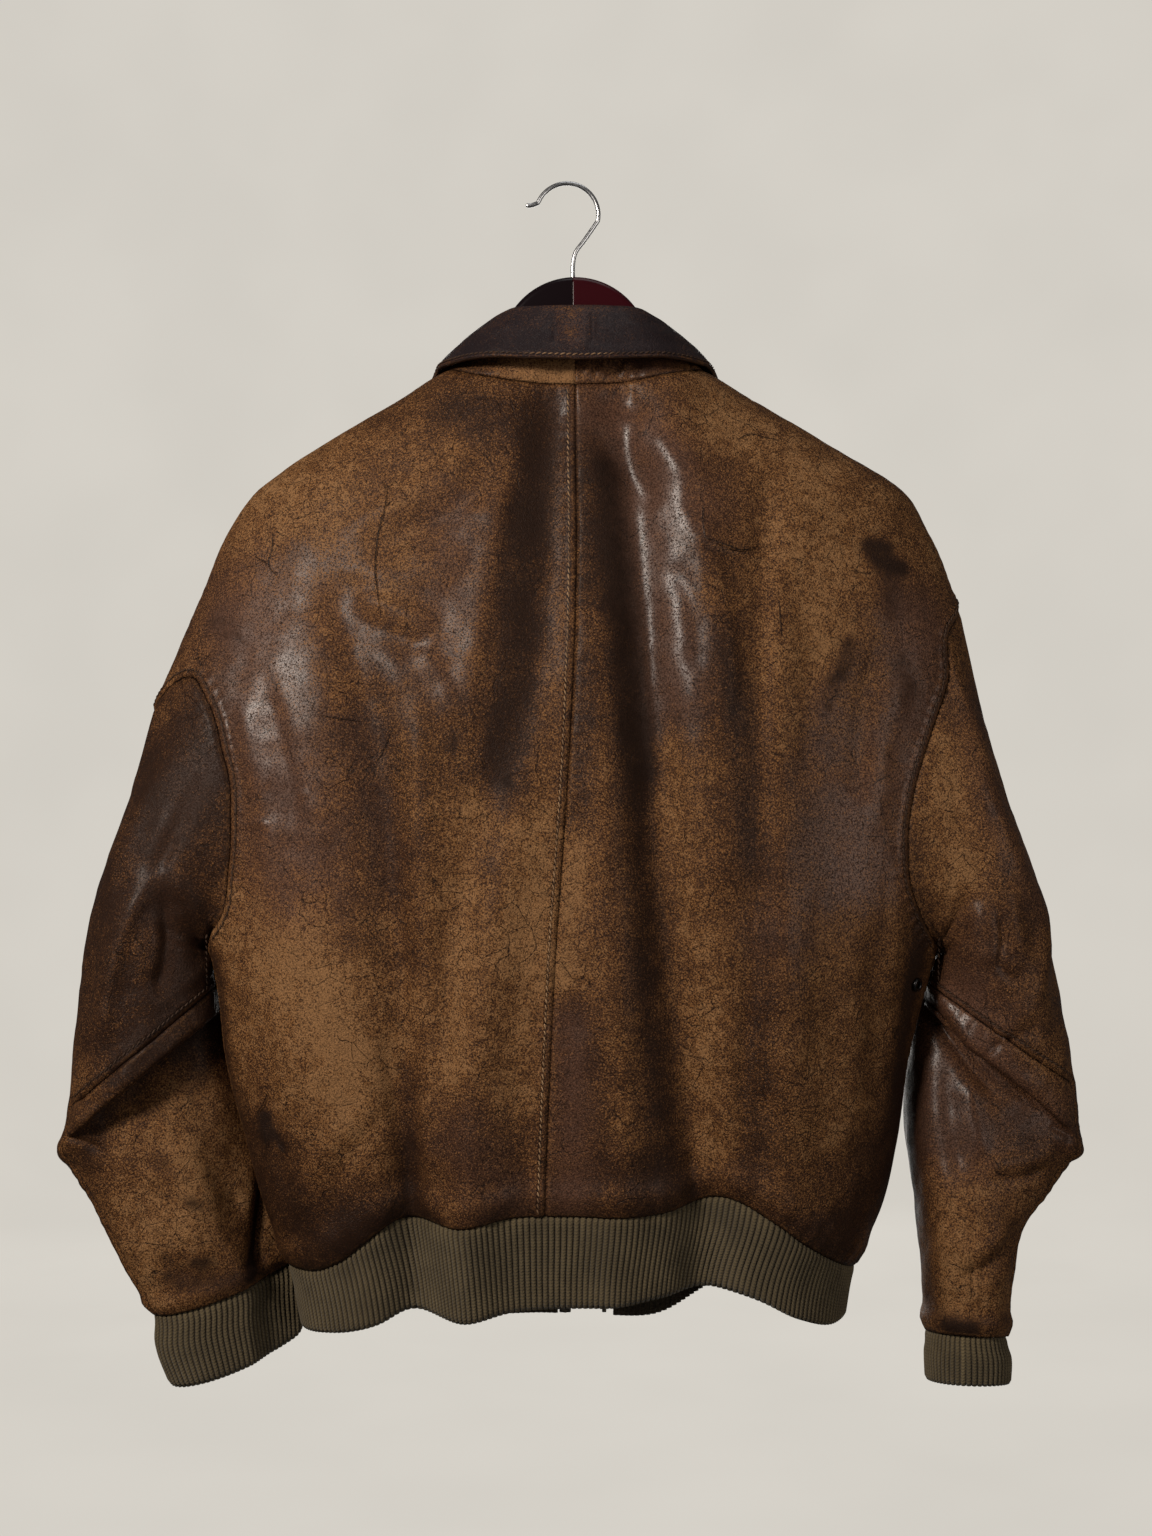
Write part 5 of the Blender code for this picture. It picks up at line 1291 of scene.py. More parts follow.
def copies_tree():
    """Copies of an object along rows of points, turned to the rows and to the surface under them."""
    graph, given = nodes_group("copies along rows", (
        ("Copy", "Object", None), ("Pitch", "Float", 0.003), ("Wobble", "Float", 0.08),
        ("Uneven", "Float", 0.1), ("Seed", "Int", 1),
    ))

    def drawn(low, high, seed):
        values = {2: low, 3: high, "Seed": seed}
        return graph.signal("FunctionNodeRandomValue", {"data_type": "FLOAT"}, values, output=1)

    rows = graph.signal("GeometryNodeMeshToCurve", {}, {0: given["Geometry"]})
    spacing = {"Curve": rows, "Length": given["Pitch"]}
    spaced = graph.signal("GeometryNodeResampleCurve", {"mode": "LENGTH"}, spacing)
    axes = {0: graph.signal("GeometryNodeInputTangent"), 1: graph.attribute("facing", "FLOAT_VECTOR")}
    turned = graph.signal("FunctionNodeAxesToRotation", {"primary_axis": "X", "secondary_axis": "Z"}, axes)
    wobble = drawn(-given["Wobble"], given["Wobble"], given["Seed"])
    about = graph.signal("FunctionNodeAxisAngleToRotation", {}, {"Axis": (0.0, 0.0, 1.0), "Angle": wobble})
    turned = graph.signal("FunctionNodeRotateRotation", {"rotation_space": "LOCAL"}, {0: turned, 1: about})
    size = drawn(1.0 - given["Uneven"], given["Uneven"] + 1.0, given["Seed"] + 1)
    copy = graph.signal("GeometryNodeObjectInfo", {}, {"Object": given["Copy"]}, output="Geometry")
    placed = graph.signal("GeometryNodeInstanceOnPoints", {},
                          {"Points": spaced, "Instance": copy, "Rotation": turned, "Scale": size})
    return end_group(graph, placed, given["Material"])


def ribs_tree():
    """Raises the ribs of a knitted band from its layer of rib numbers."""
    graph, given = nodes_group("knitted ribs", (("Depth", "Float", 0.0016), ("Fullness", "Float", 0.55)))
    phase = graph.attribute("rib", "FLOAT") * math.pi
    wave = abs(phase.maths("COSINE", phase)) ** given["Fullness"]
    values = {0: graph.attribute("facing", "FLOAT_VECTOR"), "Scale": (wave - 0.6) * given["Depth"]}
    push = graph.signal("ShaderNodeVectorMath", {"operation": "SCALE"}, values)
    shaped = graph.signal("GeometryNodeSetPosition", {}, {"Geometry": given["Geometry"], "Offset": push})
    return end_group(graph, shaped, given["Material"])


def with_tree(thing, tree, values):
    """Adds a Geometry Nodes modifier, with its inputs set by their identifiers."""
    modifier = thing.modifiers.new(tree.name, "NODES")
    modifier.node_group = tree
    names = {item.name: item.identifier for item in tree.interface.items_tree if item.in_out == "INPUT"}
    for name, value in values.items():
        modifier[names[name]] = value
    return thing


def facing_layer(mesh, facing):
    mesh.attributes.new("facing", "FLOAT_VECTOR", "POINT").data.foreach_set("vector", facing.ravel())


def copies(name, rows, copy, pitch, material, wobble, uneven):
    """Copies of one small mesh along rows of (points, normals), as one plain mesh. The pitch is in metres."""
    mesh = bpy.data.meshes.new(name)
    edges, first = [], 0
    for points, _ in rows:
        edges += [(first + i, first + i + 1) for i in range(len(points) - 1)]
        first += len(points)
    points, facing = (np.concatenate(parts) for parts in zip(*rows))
    mesh.from_pydata((points * MM).tolist(), edges, [])
    facing_layer(mesh, facing)
    thing = link(bpy.data.objects.new(name, mesh))
    values = {"Copy": copy, "Pitch": pitch, "Wobble": wobble, "Uneven": uneven, "Seed": 1,
              "Material": material}
    made = applied(with_tree(thing, finish("copies"), values))
    bpy.data.objects.remove(copy)
    return made


def stitch_shape(length, width):
    """One stitch: a rounded bead, a little sunk at its ends. Its sizes are in metres."""
    bm = bmesh.new()
    bmesh.ops.create_uvsphere(bm, u_segments=8, v_segments=6, radius=0.5)
    for vertex in bm.verts:
        x, y, z = vertex.co
        vertex.co = (z * length, (y + STITCH_SLANT * z) * width, (x - 1.1 * z * z) * width)
    return from_bmesh("stitch_shape", bm, None)


def tooth_shape(width, along, thick):
    """One zip tooth: a rounded block with a narrower head."""
    bm = bmesh.new()
    bmesh.ops.create_cube(bm, size=1.0)
    bmesh.ops.subdivide_edges(bm, edges=bm.edges[:], cuts=1, use_grid_fill=True)
    for vertex in bm.verts:
        x, y, z = vertex.co
        slim = 1.0 - 0.35 * (y > 0.1) - 0.12 * (abs(x) > 0.4) * (abs(z) > 0.4)
        vertex.co = (x * along * slim * MM, y * width * MM, z * thick * (1 - 0.2 * (y > 0.1)) * MM)
    return from_bmesh("tooth_shape", bm, None)


# ---- surfaces of the pieces ----------------------------------------------------------------------------
def sleeve_surface(side, back_cells, front_cells, between):
    """Rows of points and normals down one sleeve and its cuff, with each row's place in rings."""
    points, rows = sleeve_grid(side, RINGS[side], back_cells, front_cells, between)
    normals = grid_normals(points, True) * -SIGN[side]
    normals[0] = unit(normals[0] + armhole_points(side, back_cells, front_cells)[1])
    return points, normals, rows


def neck_places():
    """Places round half of the neck, counted in stations."""
    back_half = np.linspace(0, NECK_POINT, BACK_NECK_CELLS * FINE_COLUMNS + 1)
    front_half = np.linspace(NECK_POINT, len(COLLAR_STATIONS) - 1, FRONT_NECK_CELLS * FINE_COLUMNS + 1)
    return np.concatenate([back_half, front_half[1:]])


def stand_surface(rows):
    """The collar's stand, from the left front edge round the back to the right one."""
    half = neck_places()
    halves = []
    for side in SIDES:
        route = neck_seam(side, half).T
        top = station("fold", half) * (SIGN[side], 1, 1) + (CENTRE_X, 0, -STAND_BELOW_FOLD)
        halves.append([grid[:: SIGN[side]] for grid in (torso(*route), torso_normal(*route), top)])
    foot, facing, top = (np.concatenate([left, right[1:]]) for left, right in zip(*halves))
    parts = np.linspace(1, 0, rows)[:, None, None]
    points = top[None] * parts + foot[None] * (1 - parts)
    normals = grid_normals(points)
    normals[-1] = unit(normals[-1] + facing)
    return points, normals


def inset(points, normals, far, distance, axis, flip=False):
    """The row of points, with normals, where `far` reaches a distance, read in from one edge of a grid."""
    grids = points, normals, far
    if flip:
        grids = [np.flip(grid, axis) for grid in grids]
    points, normals, far = (np.moveaxis(grid, axis, 1) for grid in grids)
    line, facing = (
        np.array([[np.interp(distance, reach, column) for column in row.T] for reach, row in zip(far, grid)])
        for grid in (points, normals))
    return line, unit(facing)


def sew(line, facing, thickness=LEATHER, ends=0):
    """Keeps a row of stitches that lies on the outer side of a wall, but for a few points at its ends."""
    line, facing = line[ends: len(line) - ends], facing[ends: len(line) - ends]
    SEWN.append((line + facing * (thickness / 2 + THREAD_RISE), facing))


def make_leather(name, node, cloth, slot="leather", thickness=LEATHER, material="leather", **kept):
    """A finished piece of leather that stands for its CAD node."""
    piece = wall(name, cloth, thickness, finish(material), **kept)
    worn_by(piece, node)
    LEATHERS.append(piece)


def body_panel(side, front):
    """One of the four leather panels of the body."""
    neck_end = (FRONT_NECK_CELLS if front else BACK_NECK_CELLS) * FINE_COLUMNS
    armhole_end = (SLEEVE_FRONT_CELLS if front else SLEEVE_BACK_CELLS) * FINE_ROWS
    counts = neck_end, SHOULDER_CELLS * FINE_COLUMNS, armhole_end, SIDE_CELLS * FINE_ROWS
    grid = panel_grid(side, front, counts)
    points, normals = torso(*np.moveaxis(grid, -1, 0)), torso_normal(*np.moveaxis(grid, -1, 0))
    back_end = SLEEVE_BACK_CELLS * FINE_ROWS
    around = sleeve_surface(side, back_end, SLEEVE_FRONT_CELLS * FINE_ROWS, SLEEVE_ROWS_BETWEEN)[1][0]
    if front:
        around = np.concatenate([around[back_end:], around[:1]])[::-1]
    normals[: armhole_end + 1, -1] = around[: armhole_end + 1]
    middle = len(neck_places()) - 1
    away = stand_surface(STAND_ROWS)[1][-1][middle:: SIGN[side]]
    normals[0, : neck_end + 1] = (away[::-1] if front else away)[: neck_end + 1]

    x, z = points[..., 0], points[..., 2]
    armhole, side_seam = points[: armhole_end + 1, -1], points[armhole_end:, -1]
    shoulder, neck = points[0, neck_end:], points[0, : neck_end + 1]
    hem, inner = points[-1], points[:, 0]
    lapped = side == "left" or front
    quiet, _ = beside(points, (armhole, side_seam, shoulder, neck, hem))
    armhole_far, at_armhole = seam(points, (armhole,), 1.0, 0.5)
    inner_far, at_inner = seam(points, (inner,), lapped, 0.25)
    _, at_plain = seam(points, (side_seam, shoulder), 0.0, 0.15)
    _, at_neck = seam(points, (neck,), 0.0, 0.3)
    hem_far, hem_along = beside(points, (hem,), HEM_REACH)
    gathers = np.sin(hem_along * 2 * math.pi / 13 + 2.5 * np.sin(hem_along / 37)) * step(0, 3, hem_far)
    loose = relief(FRONT_CREASES if front else BACK_CREASES, x, z) + rumple("panel", points)
    lift = loose * step(1.0, 10.0, quiet) + at_armhole + at_inner + at_plain + at_neck
    lift += bloused(hem_far, PANEL_BLOUSE) + 0.45 * gathers * hill(hem_far, 16)
    points = moved(points, normals, lift)
    fine = surface_normals(points, normals)
    stitched = (armhole_far < STITCHED_WIDTH) | (lapped & (inner_far < STITCHED_WIDTH))
    layers = painted(FRONT_STROKES if front else BACK_STROKES, x, z, np.minimum(quiet, inner_far), stitched)
    # the leather is drawn darker and more blotted within about 12 mm of the hem
    by_the_hem = hill(hem_far, 12)
    layers["wear"] = np.clip(layers["wear"] - 0.22 * by_the_hem, 0, 1)
    layers["stain"] = np.clip(layers["stain"] + 0.12 * by_the_hem, 0, 1)
    name = f"{'front' if front else 'back'}_{side}"
    make_leather(f"{name}_leather", name, Cloth(points, fine, layers))
    if lapped:
        sew(*inset(points, fine, inner_far, STITCH_LINE, 1), ends=2)
    block = slice(3, armhole_end - 6)
    sew(*inset(points[block], fine[block], armhole_far[block], STITCH_LINE, 1, flip=True))


def sleeve(side):
    """The two leather pieces of a sleeve and the ribbed cuff under them."""
    back, front = SLEEVE_BACK_CELLS * SLEEVE_FINE_COLUMNS, SLEEVE_FRONT_CELLS * SLEEVE_FINE_COLUMNS
    between = tuple(count * SLEEVE_FINE_ROWS for count in SLEEVE_ROWS_BETWEEN)
    points, normals, rows = sleeve_surface(side, back, front, between)
    elbow = 2 * SLEEVE_FINE_COLUMNS
    inner = back - SLEEVE_FINE_COLUMNS
    front_seam = back + 2 * SLEEVE_FINE_COLUMNS
    seam_row, wrist_row = (int(np.argmax(rows >= ring)) for ring in (SEAM_RING, WRIST_RING))
    x, z = points[..., 0], points[..., 2]
    down, columns = np.arange(len(points))[:, None], np.arange(points.shape[1])
    under = (columns >= np.where(down < seam_row, inner, elbow)) & (columns < front_seam)
    facing_back = behind(normals, -0.25, 0.35)
    creases = SLEEVE_CREASES[side]
    lift = relief(creases, x, z) * facing_back - 0.6 * relief(creases, x, z - 9) * (1 - facing_back)
    lift = (lift + rumple("sleeve", points)) * step(0, 12, down) * (1 - step(wrist_row - 8, wrist_row, down))
    armhole, wrist = (np.concatenate([points[row], points[row, :1]]) for row in (0, wrist_row))
    upper = points[: seam_row + 1, inner]
    level_seam = points[seam_row, elbow: inner + 1]
    lower = points[seam_row: wrist_row + 1, elbow]
    armhole_far, at_armhole = seam(points, (armhole,), 0.0, 0.45)
    sewn_far, at_sewn = seam(points, (upper, level_seam, lower), ~under, 0.35)
    front_far, at_front = seam(points, (points[: wrist_row + 1, front_seam],), 0.0, 0.15)
    wrist_far, _ = beside(points, (wrist,))
    lift += at_armhole + at_sewn + at_front + np.where(down < wrist_row, bloused(wrist_far, SLEEVE_BLOUSE), 0)
    outer = moved(points, normals, lift)
    fine = surface_normals(outer, normals, True)
    edge = np.minimum.reduce([armhole_far, sewn_far, front_far, wrist_far])
    layers = painted(SLEEVE_STROKES[side], x, z, edge, ~under & (sewn_far < STITCHED_WIDTH))
    leather_rows = slice(0, wrist_row + 1)
    layers = {key: value[leather_rows] for key, value in layers.items()}
    cloth = Cloth(outer[leather_rows], fine[leather_rows], layers)
    name, below = f"sleeve_{side}", under[:wrist_row]
    make_leather(f"{name}_top_leather", f"{name}_top", cloth, "sleeve_leather", material="sleeve leather",
                 keep=~below, closed=True)
    make_leather(f"{name}_under_leather", f"{name}_under", cloth, keep=below, closed=True)
    block = slice(seam_row - 40, seam_row + 1), slice(elbow + 4, inner - 3)
    sew(*inset(outer[block], fine[block], sewn_far[block], STITCH_LINE, 0, flip=True))
    knit_band(f"cuff_{side}_knit", points[wrist_row:], normals[wrist_row:], True, f"cuff_{side}")




def knit_band(name, points, normals, closed, node):
    """A ribbed band over a grid of points, its ribs of even width, its top sewn in, its lower edge rolled."""
    sizes = bpy.context.scene.jacket_sizes
    if closed:
        points, normals = (np.concatenate([grid, grid[:, :1]], axis=1) for grid in (points, normals))
    reach = lengths(points[len(points) // 2])
    ribs = round(reach[-1] * MM / sizes.rib_pitch)
    columns = ribs * RIB_COLUMNS + 1
    at = np.interp(np.linspace(0, reach[-1], columns), reach, np.arange(len(reach)))
    low = np.minimum(at.astype(int), points.shape[1] - 2)
    part = (at - low)[None, :, None]
    points, normals = (grid[:, low] * (1 - part) + grid[:, low + 1] * part for grid in (points, normals))
    normals = unit(normals)
    down = np.cumsum(np.linalg.norm(np.diff(points, axis=0), axis=-1), axis=0)
    down = np.concatenate([np.zeros((1, columns)), down])
    above = down[-1:] - down
    lift = rumple("knit", points) - BAND_TURNS[0] * turn_in(down, 5) - BAND_TURNS[1] * turn_in(above, 2.5)
    points = moved(points, normals, lift * step(0, 12, np.minimum(down + 8, above + 8)))
    rib, across = (np.broadcast_to(np.linspace(0, end, columns), down.shape) for end in (ribs, reach[-1]))
    if closed:
        points, normals, rib, across, down = (grid[:, :-1] for grid in (points, normals, rib, across, down))
    faces = grid_faces(*down.shape, closed)
    flat, facing = points.reshape(-1, 3), normals.reshape(-1, 3)
    a, b, c = (flat[faces[:, i]] for i in range(3))
    if (np.cross(b - a, c - a) * facing[faces[:, 0]]).sum() < 0:
        faces = faces[:, ::-1]
    joined = hill(flat[:, 0] - CUFF_SEAM_X, 1.3) * closed * (facing[:, 1] < 0)
    thing = mesh_object(name, flat, faces, finish("knit"), {"rib": rib.ravel(), "joined": joined})
    facing_layer(thing.data, facing)
    place = np.stack([across.ravel(), down.ravel()], axis=1) * MM
    thing.data.uv_layers.new(name="cloth").data.foreach_set("uv", place[faces.ravel()].ravel())
    with_tree(thing, finish("ribs"), {"Depth": sizes.rib_depth, "Material": finish("knit")})
    thick = thing.modifiers.new("knit", "SOLIDIFY")
    thick.thickness, thick.offset = (KNIT - 1.0) * MM, -1.0
    worn_by(applied(thing), node)


def waistband():
    """The ribbed band under the leather, from one front edge round the back to the other."""
    ends = [float(angle_of(front_edge_x(side, FRONT_HEM_Z), FRONT_HEM_Z, True)) for side in SIDES]
    turns = np.linspace(*ends, 900)
    heights = hem_z(turns)[None] + (band_z(turns) - hem_z(turns))[None] * np.linspace(0, 1, 16)[:, None]
    angles = np.broadcast_to(turns, heights.shape)
    knit_band("waistband_knit", torso(angles, heights), torso_normal(angles, heights), False, "waistband")


def stand():
    """The two halves of the collar's stand, drawn up in puckers along the neck seam."""
    points, normals = stand_surface(2 * STAND_ROWS)
    x, z = points[..., 0], points[..., 2]
    far, at_seam = seam(points, (points[-1],), 0.0, 0.5)
    loose = relief(STAND_CREASES, x, z) * behind(normals, -0.1, 0.5) + rumple("stand", points)
    points = moved(points, normals, loose * step(0, 4, far) + at_seam)
    fine = surface_normals(points, normals)
    left = np.arange(points.shape[1] - 1) < len(neck_places()) - 1
    for side, keep in zip(SIDES, (left, ~left)):
        cloth = Cloth(points, fine, painted(STAND_STROKES[side], x, z, far))
        make_leather(f"stand_{side}_leather", f"collar_stand_{side}", cloth, keep=keep)


def leaf():
    """The collar's leaf, turned down over the stand, with its edge stitched."""
    points, normals = stand_surface(4)
    stood = normals[0]
    half = station("edge", neck_places())
    edge = np.concatenate([(half * (-1, 1, 1))[::-1], half[1:]]) + (CENTRE_X, 0, 0)
    fold = points[0] + unit(points[0] - points[1]) * FOLD_HIGH
    over = fold + stood * FOLD_WIDE
    crown = (over + edge) / 2 + unit(stood + (0, 0, 1)) * LEAF_BULGE
    control = np.stack([points[0], fold + stood * 0.2 * FOLD_WIDE, over, crown, edge])
    places = np.concatenate([np.linspace(0, 2, LEAF_ROWS[0]), np.linspace(2, 4, LEAF_ROWS[1])[1:]])
    points = smooth(np.arange(5), control, places)
    normals = grid_normals(points)
    normals[0] = -unit(stood)
    x, z = points[..., 0], points[..., 2]
    outer = points[LEAF_ROWS[0]:]
    far, _ = beside(points, (outer[-1], outer[:, 0], outer[:, -1]))
    lift = relief(COLLAR_CREASES, x, z) * behind(normals, -0.1, 0.5) + rumple("leaf", points)
    lift *= step(0, 8, np.arange(len(points)))[:, None]
    lift += LEAF_EDGE_RISE * step(2.2, 3.2, far) * (1 - step(6, 12, far)) - 0.5 * turn_in(far, 1.6)
    points = moved(points, normals, lift)
    fine = surface_normals(points, normals)
    layers = painted(COLLAR_STROKES, x, z, far * 2.2, 1.0)
    layers["wear"] = np.clip(layers["wear"] + 0.5 * hill(far, 2.4), 0, 1)
    cloth = Cloth(points, fine, layers)
    make_leather("collar_leaf", "collar", cloth, "collar_leather", COLLAR, "collar leather")
    sew(*inset(points[20:], fine[20:], far[20:], LEAF_STITCH_LINE, 0, flip=True), thickness=COLLAR, ends=4)


def front_edge(side, z):
    """Points down the edge of a front, and of the band below it."""
    on_leather = np.maximum(z, FRONT_HEM_Z)
    return torso(angle_of(front_edge_x(side, on_leather), on_leather, True), z)


def zip_side(side):
    """One side of the open zip: a woven tape with a row of teeth along its free edge."""
    inward = -SIGN[side]
    top = COLLAR_STATIONS[-1].seam[1] - 2
    below = np.linspace(FRONT_HEM_Z, CHAIN_END[side], 12)[1:]
    z = np.concatenate([np.linspace(top, FRONT_HEM_Z, 160), below])
    edge = front_edge(side, z) + (inward * SEAM_GAP, 0, 0)
    shares = np.array([0, 0.25, 0.5, 0.74])[None, :, None] * CHAIN_WIDTH
    points = edge[:, None, :] + shares * (inward, 0, 0)
    normals = np.zeros_like(points)
    normals[..., 1] = 1
    tape = wall(f"zip_tape_{side}", Cloth(points, normals, {}), TAPE, finish("tape"))
    worn_by(tape, f"zip_{side}")
    rows = [(points[::SIGN[side], -1] - (inward * 0.2, 0, 0), normals[:, -1])]
    pitch = bpy.context.scene.jacket_sizes.tooth_pitch
    teeth = copies(f"zip_teeth_{side}", rows, tooth_shape(*TOOTH), pitch, finish("zip metal"), 0.0, 0.0)
    worn_by(teeth, f"zip_{side}")


def stitches():
    """Every row of stitches, each stitch sunk at its ends into the leather."""
    sizes = bpy.context.scene.jacket_sizes
    copy = stitch_shape(sizes.stitch_pitch * STITCH_SHARE, sizes.stitch_width)
    rows = [row for row in SEWN if len(row[0]) > 3]
    sewn = copies("seam_stitches", rows, copy, sizes.stitch_pitch, finish("thread"), 0.07, 0.12)
    worn_by(sewn, None)


def on_leather(trees, x, z, name):
    """The point and normal of the leather's back that is seen at (x, z)."""
    start = Vector((x, LOOK_FROM_Y, z)) * MM
    hits = [tree.ray_cast(start, Vector((0, 1, 0)))[:2] for tree in trees]
    hits = [hit for hit in hits if hit[0] is not None]
    if not hits:
        raise RuntimeError(f"the crack {name} leaves the leather")
    place, normal = min(hits, key=lambda hit: hit[0].y)
    return np.array(place) / MM, np.array(normal)


def cracks():
    """Cracks in the leather: lips that stand up on both sides of a dark groove."""
    graph = bpy.context.evaluated_depsgraph_get()
    trees = [BVHTree.FromObject(piece, graph) for piece in LEATHERS]
    for number, (name, crack, width) in enumerate(CRACKS, 1):
        route = through(crack, np.linspace(0, 1, 14 * len(crack)))
        line, facing = (np.array(part) for part in zip(*[on_leather(trees, x, z, name) for x, z in route]))
        facing = unit(facing)
        for _ in range(CRACK_TURNS):
            facing[1:-1] = unit(facing[:-2] + facing[1:-1] + facing[2:])
        across = unit(np.cross(facing, unit(np.gradient(line, axis=0))))
        taper = np.sin(np.linspace(0.08, 0.97, len(line)) * math.pi)[:, None, None] ** 0.6
        points = line[:, None] + across[:, None] * CRACK_OFFSETS[:, None] * (width * taper)
        points = points + facing[:, None] * (CRACK_HEIGHTS[:, None] * taper)
        normals = np.broadcast_to(facing[:, None], points.shape)
        edge = np.broadcast_to(np.abs(CRACK_OFFSETS) * width * 0.9, points.shape[:2])
        cloth = Cloth(points, normals, painted(BACK_STROKES, points[..., 0], points[..., 2], edge))
        worn_by(wall(f"crack_{number}", cloth, CRACK_THICK, finish("leather")), None)


def tube(name, route, radius, material, radii, closed):
    """A round wire through points in millimetres, as a plain mesh."""
    wire = bpy.data.curves.new(name, "CURVE")
    wire.dimensions = "3D"
    wire.bevel_depth = radius * MM
    wire.bevel_resolution = 6
    wire.use_fill_caps = not closed
    line = wire.splines.new("POLY")
    line.points.add(len(route) - 1)
    for point, place, share in zip(line.points, route * MM, radii):
        point.co = (*place, 1)
        point.radius = share
    line.use_cyclic_u = closed
    thing = link(bpy.data.objects.new(name, wire))
    wire.materials.append(material)
    made = applied(thing)
    made.data.shade_smooth()
    return made


def hook():
    """The hanger's hook: a round wire with a rounded tip."""
    turn = np.radians(np.linspace(158, -12, 60))
    centre_z = HOOK_WIRE / 2 - HOOK_RADIUS
    bend = np.stack([HOOK_RADIUS * np.cos(turn), centre_z + HOOK_RADIUS * np.sin(turn)], axis=-1)
    lip = through([(-28.0, -13.6), (-24.2, -13.4), bend[0]], np.linspace(0, 0.85, 10))
    shank = [bend[-1], (17.2, -29.5), (11.6, -37.5), (5.6, -46), (HOOK_SHANK_X, -54)]
    shank = through([*shank, (HOOK_SHANK_X, DOME_TOP_Z + SEAM_GAP)], np.linspace(0, 1, 36))
    route = np.concatenate([lip, bend, shank[1:]])
    route = np.stack([route[:, 0], np.zeros(len(route)), route[:, 1]], axis=-1)
    radii = np.ones(len(route))
    radii[:3] = (0.62, 0.9, 1.05)
    worn_by(tube("hook_wire", route, HOOK_WIRE / 2, finish("steel"), radii, False), "hanger_hook")


def arm_top(side, z):
    """Points along the top of an arm, just under the shoulder's leather."""
    ridge = np.stack([level(side, z), z], axis=-1)
    along = unit(np.gradient(ridge, axis=0))
    inward = np.stack([along[:, 1], -along[:, 0]], axis=-1) * SIGN[side]
    return ridge + inward * (LEATHER / 2 + HANGER_CLEARANCE)


def hanger_outline():
    """The hanger's outline in the XZ plane, clockwise from the foot of the dome's left side."""
    zs = np.linspace(ARM_INNER_Z, ARM_OUTER_Z, 13)
    right, left = arm_top("right", zs), arm_top("left", zs)[::-1]
    turn = np.radians(np.linspace(173, 7, 49))
    dome_z = DOME_TOP_Z - DOME_RADIUS
    dome = np.stack([CENTRE_X + DOME_RADIUS * np.cos(turn), dome_z + DOME_RADIUS * np.sin(turn)], axis=-1)
    below = []
    for arm, sign in ((right, 1), (left[::-1], -1)):
        tip = arm[-1] + np.array([-sign * 3, -HANGER_TIP_RADIUS])
        angles = np.radians(np.array([60, 25, -10, -45, -80]))
        cap = tip + HANGER_TIP_RADIUS * np.stack([sign * np.cos(angles), np.sin(angles)], axis=-1)
        middle = np.array([CENTRE_X + sign * 62, HANGER_LOWER_Z - 8])
        foot = through([cap[-1], (cap[-1] + middle) / 2 + (0, 3), middle], [0.25, 0.5, 0.75, 1.0])
        below.append(np.concatenate([cap, foot]))
    centre = np.array([[CENTRE_X, HANGER_LOWER_Z]])
    return np.concatenate([dome, right[1:], below[0], centre, below[1][::-1], left[:-1]])


def hanger():
    """The lacquered wooden bar: a dome in the neck and two arms in the shoulders, its edges well rounded."""
    bm = bmesh.new()
    back = (HANGER_Y - HANGER_THICK / 2) * MM
    face = bm.faces.new([bm.verts.new((x * MM, back, z * MM)) for x, z in hanger_outline()])
    raised = bmesh.ops.extrude_face_region(bm, geom=[face])["geom"]
    for vertex in (item for item in raised if isinstance(item, bmesh.types.BMVert)):
        vertex.co.y += HANGER_THICK * MM
    bm.normal_update()
    sharp = math.radians(60)
    rim = [edge for edge in bm.edges if len(edge.link_faces) == 2 and edge.calc_face_angle(0) > sharp]
    reach = (HANGER_THICK / 2 - 0.4) * MM
    bmesh.ops.bevel(bm, geom=rim, offset=reach, segments=7, profile=0.5, affect="EDGES")
    bmesh.ops.triangulate(bm, faces=[face for face in bm.faces if len(face.verts) > 4])
    worn_by(from_bmesh("hanger_bar", bm, finish("wood")), "hanger_wood")


def eyelet():
    """The vent eyelet under the right arm."""
    x, z = EYELET_PLACE
    facing = unit(torso_normal(angle_of(x, z), z))
    centre = np.array(torso(angle_of(x, z), z)) + facing * (LEATHER / 2 + SEAM_GAP + EYELET_WIRE / 2)
    across = unit(np.cross(facing, (0, 0, 1)))
    up = np.cross(across, facing)
    turn = np.linspace(0, 2 * math.pi, 49)[:-1, None]
    route = centre + (EYELET_DIAMETER - EYELET_WIRE) / 2 * (across * np.cos(turn) + up * np.sin(turn))
    ring = tube("eyelet_ring", route, EYELET_WIRE / 2, finish("eyelet metal"), np.ones(len(route)), True)
    worn_by(ring, "eyelet_right")


def metal_nodes():
    """The zip's slider, box, pin and pull keep their own shapes and get worn metal."""
    for name in ("zip_slider", "zip_box", "zip_pin", "zip_pull"):
        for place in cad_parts[name].material_slots:
            place.material = finish("zip metal")


def finish(key):
    """The material or node tree of that name, made at its first use."""
    if key not in MADE:
        MADE[key] = RECIPES[key](bpy.context.scene.jacket_colours)
    return MADE[key]


Tones = namedtuple("Tones", "dark brown tan pale plum blot inside")


def body_tones(colours):
    return Tones(colours.dark, colours.brown, colours.tan, colours.pale, colours.plum, colours.grime,
                 colours.inside)


def collar_tones(colours):
    return Tones(colours.collar, colours.collar_worn, colours.brown, colours.tan, colours.plum,
                 colours.collar, colours.inside)


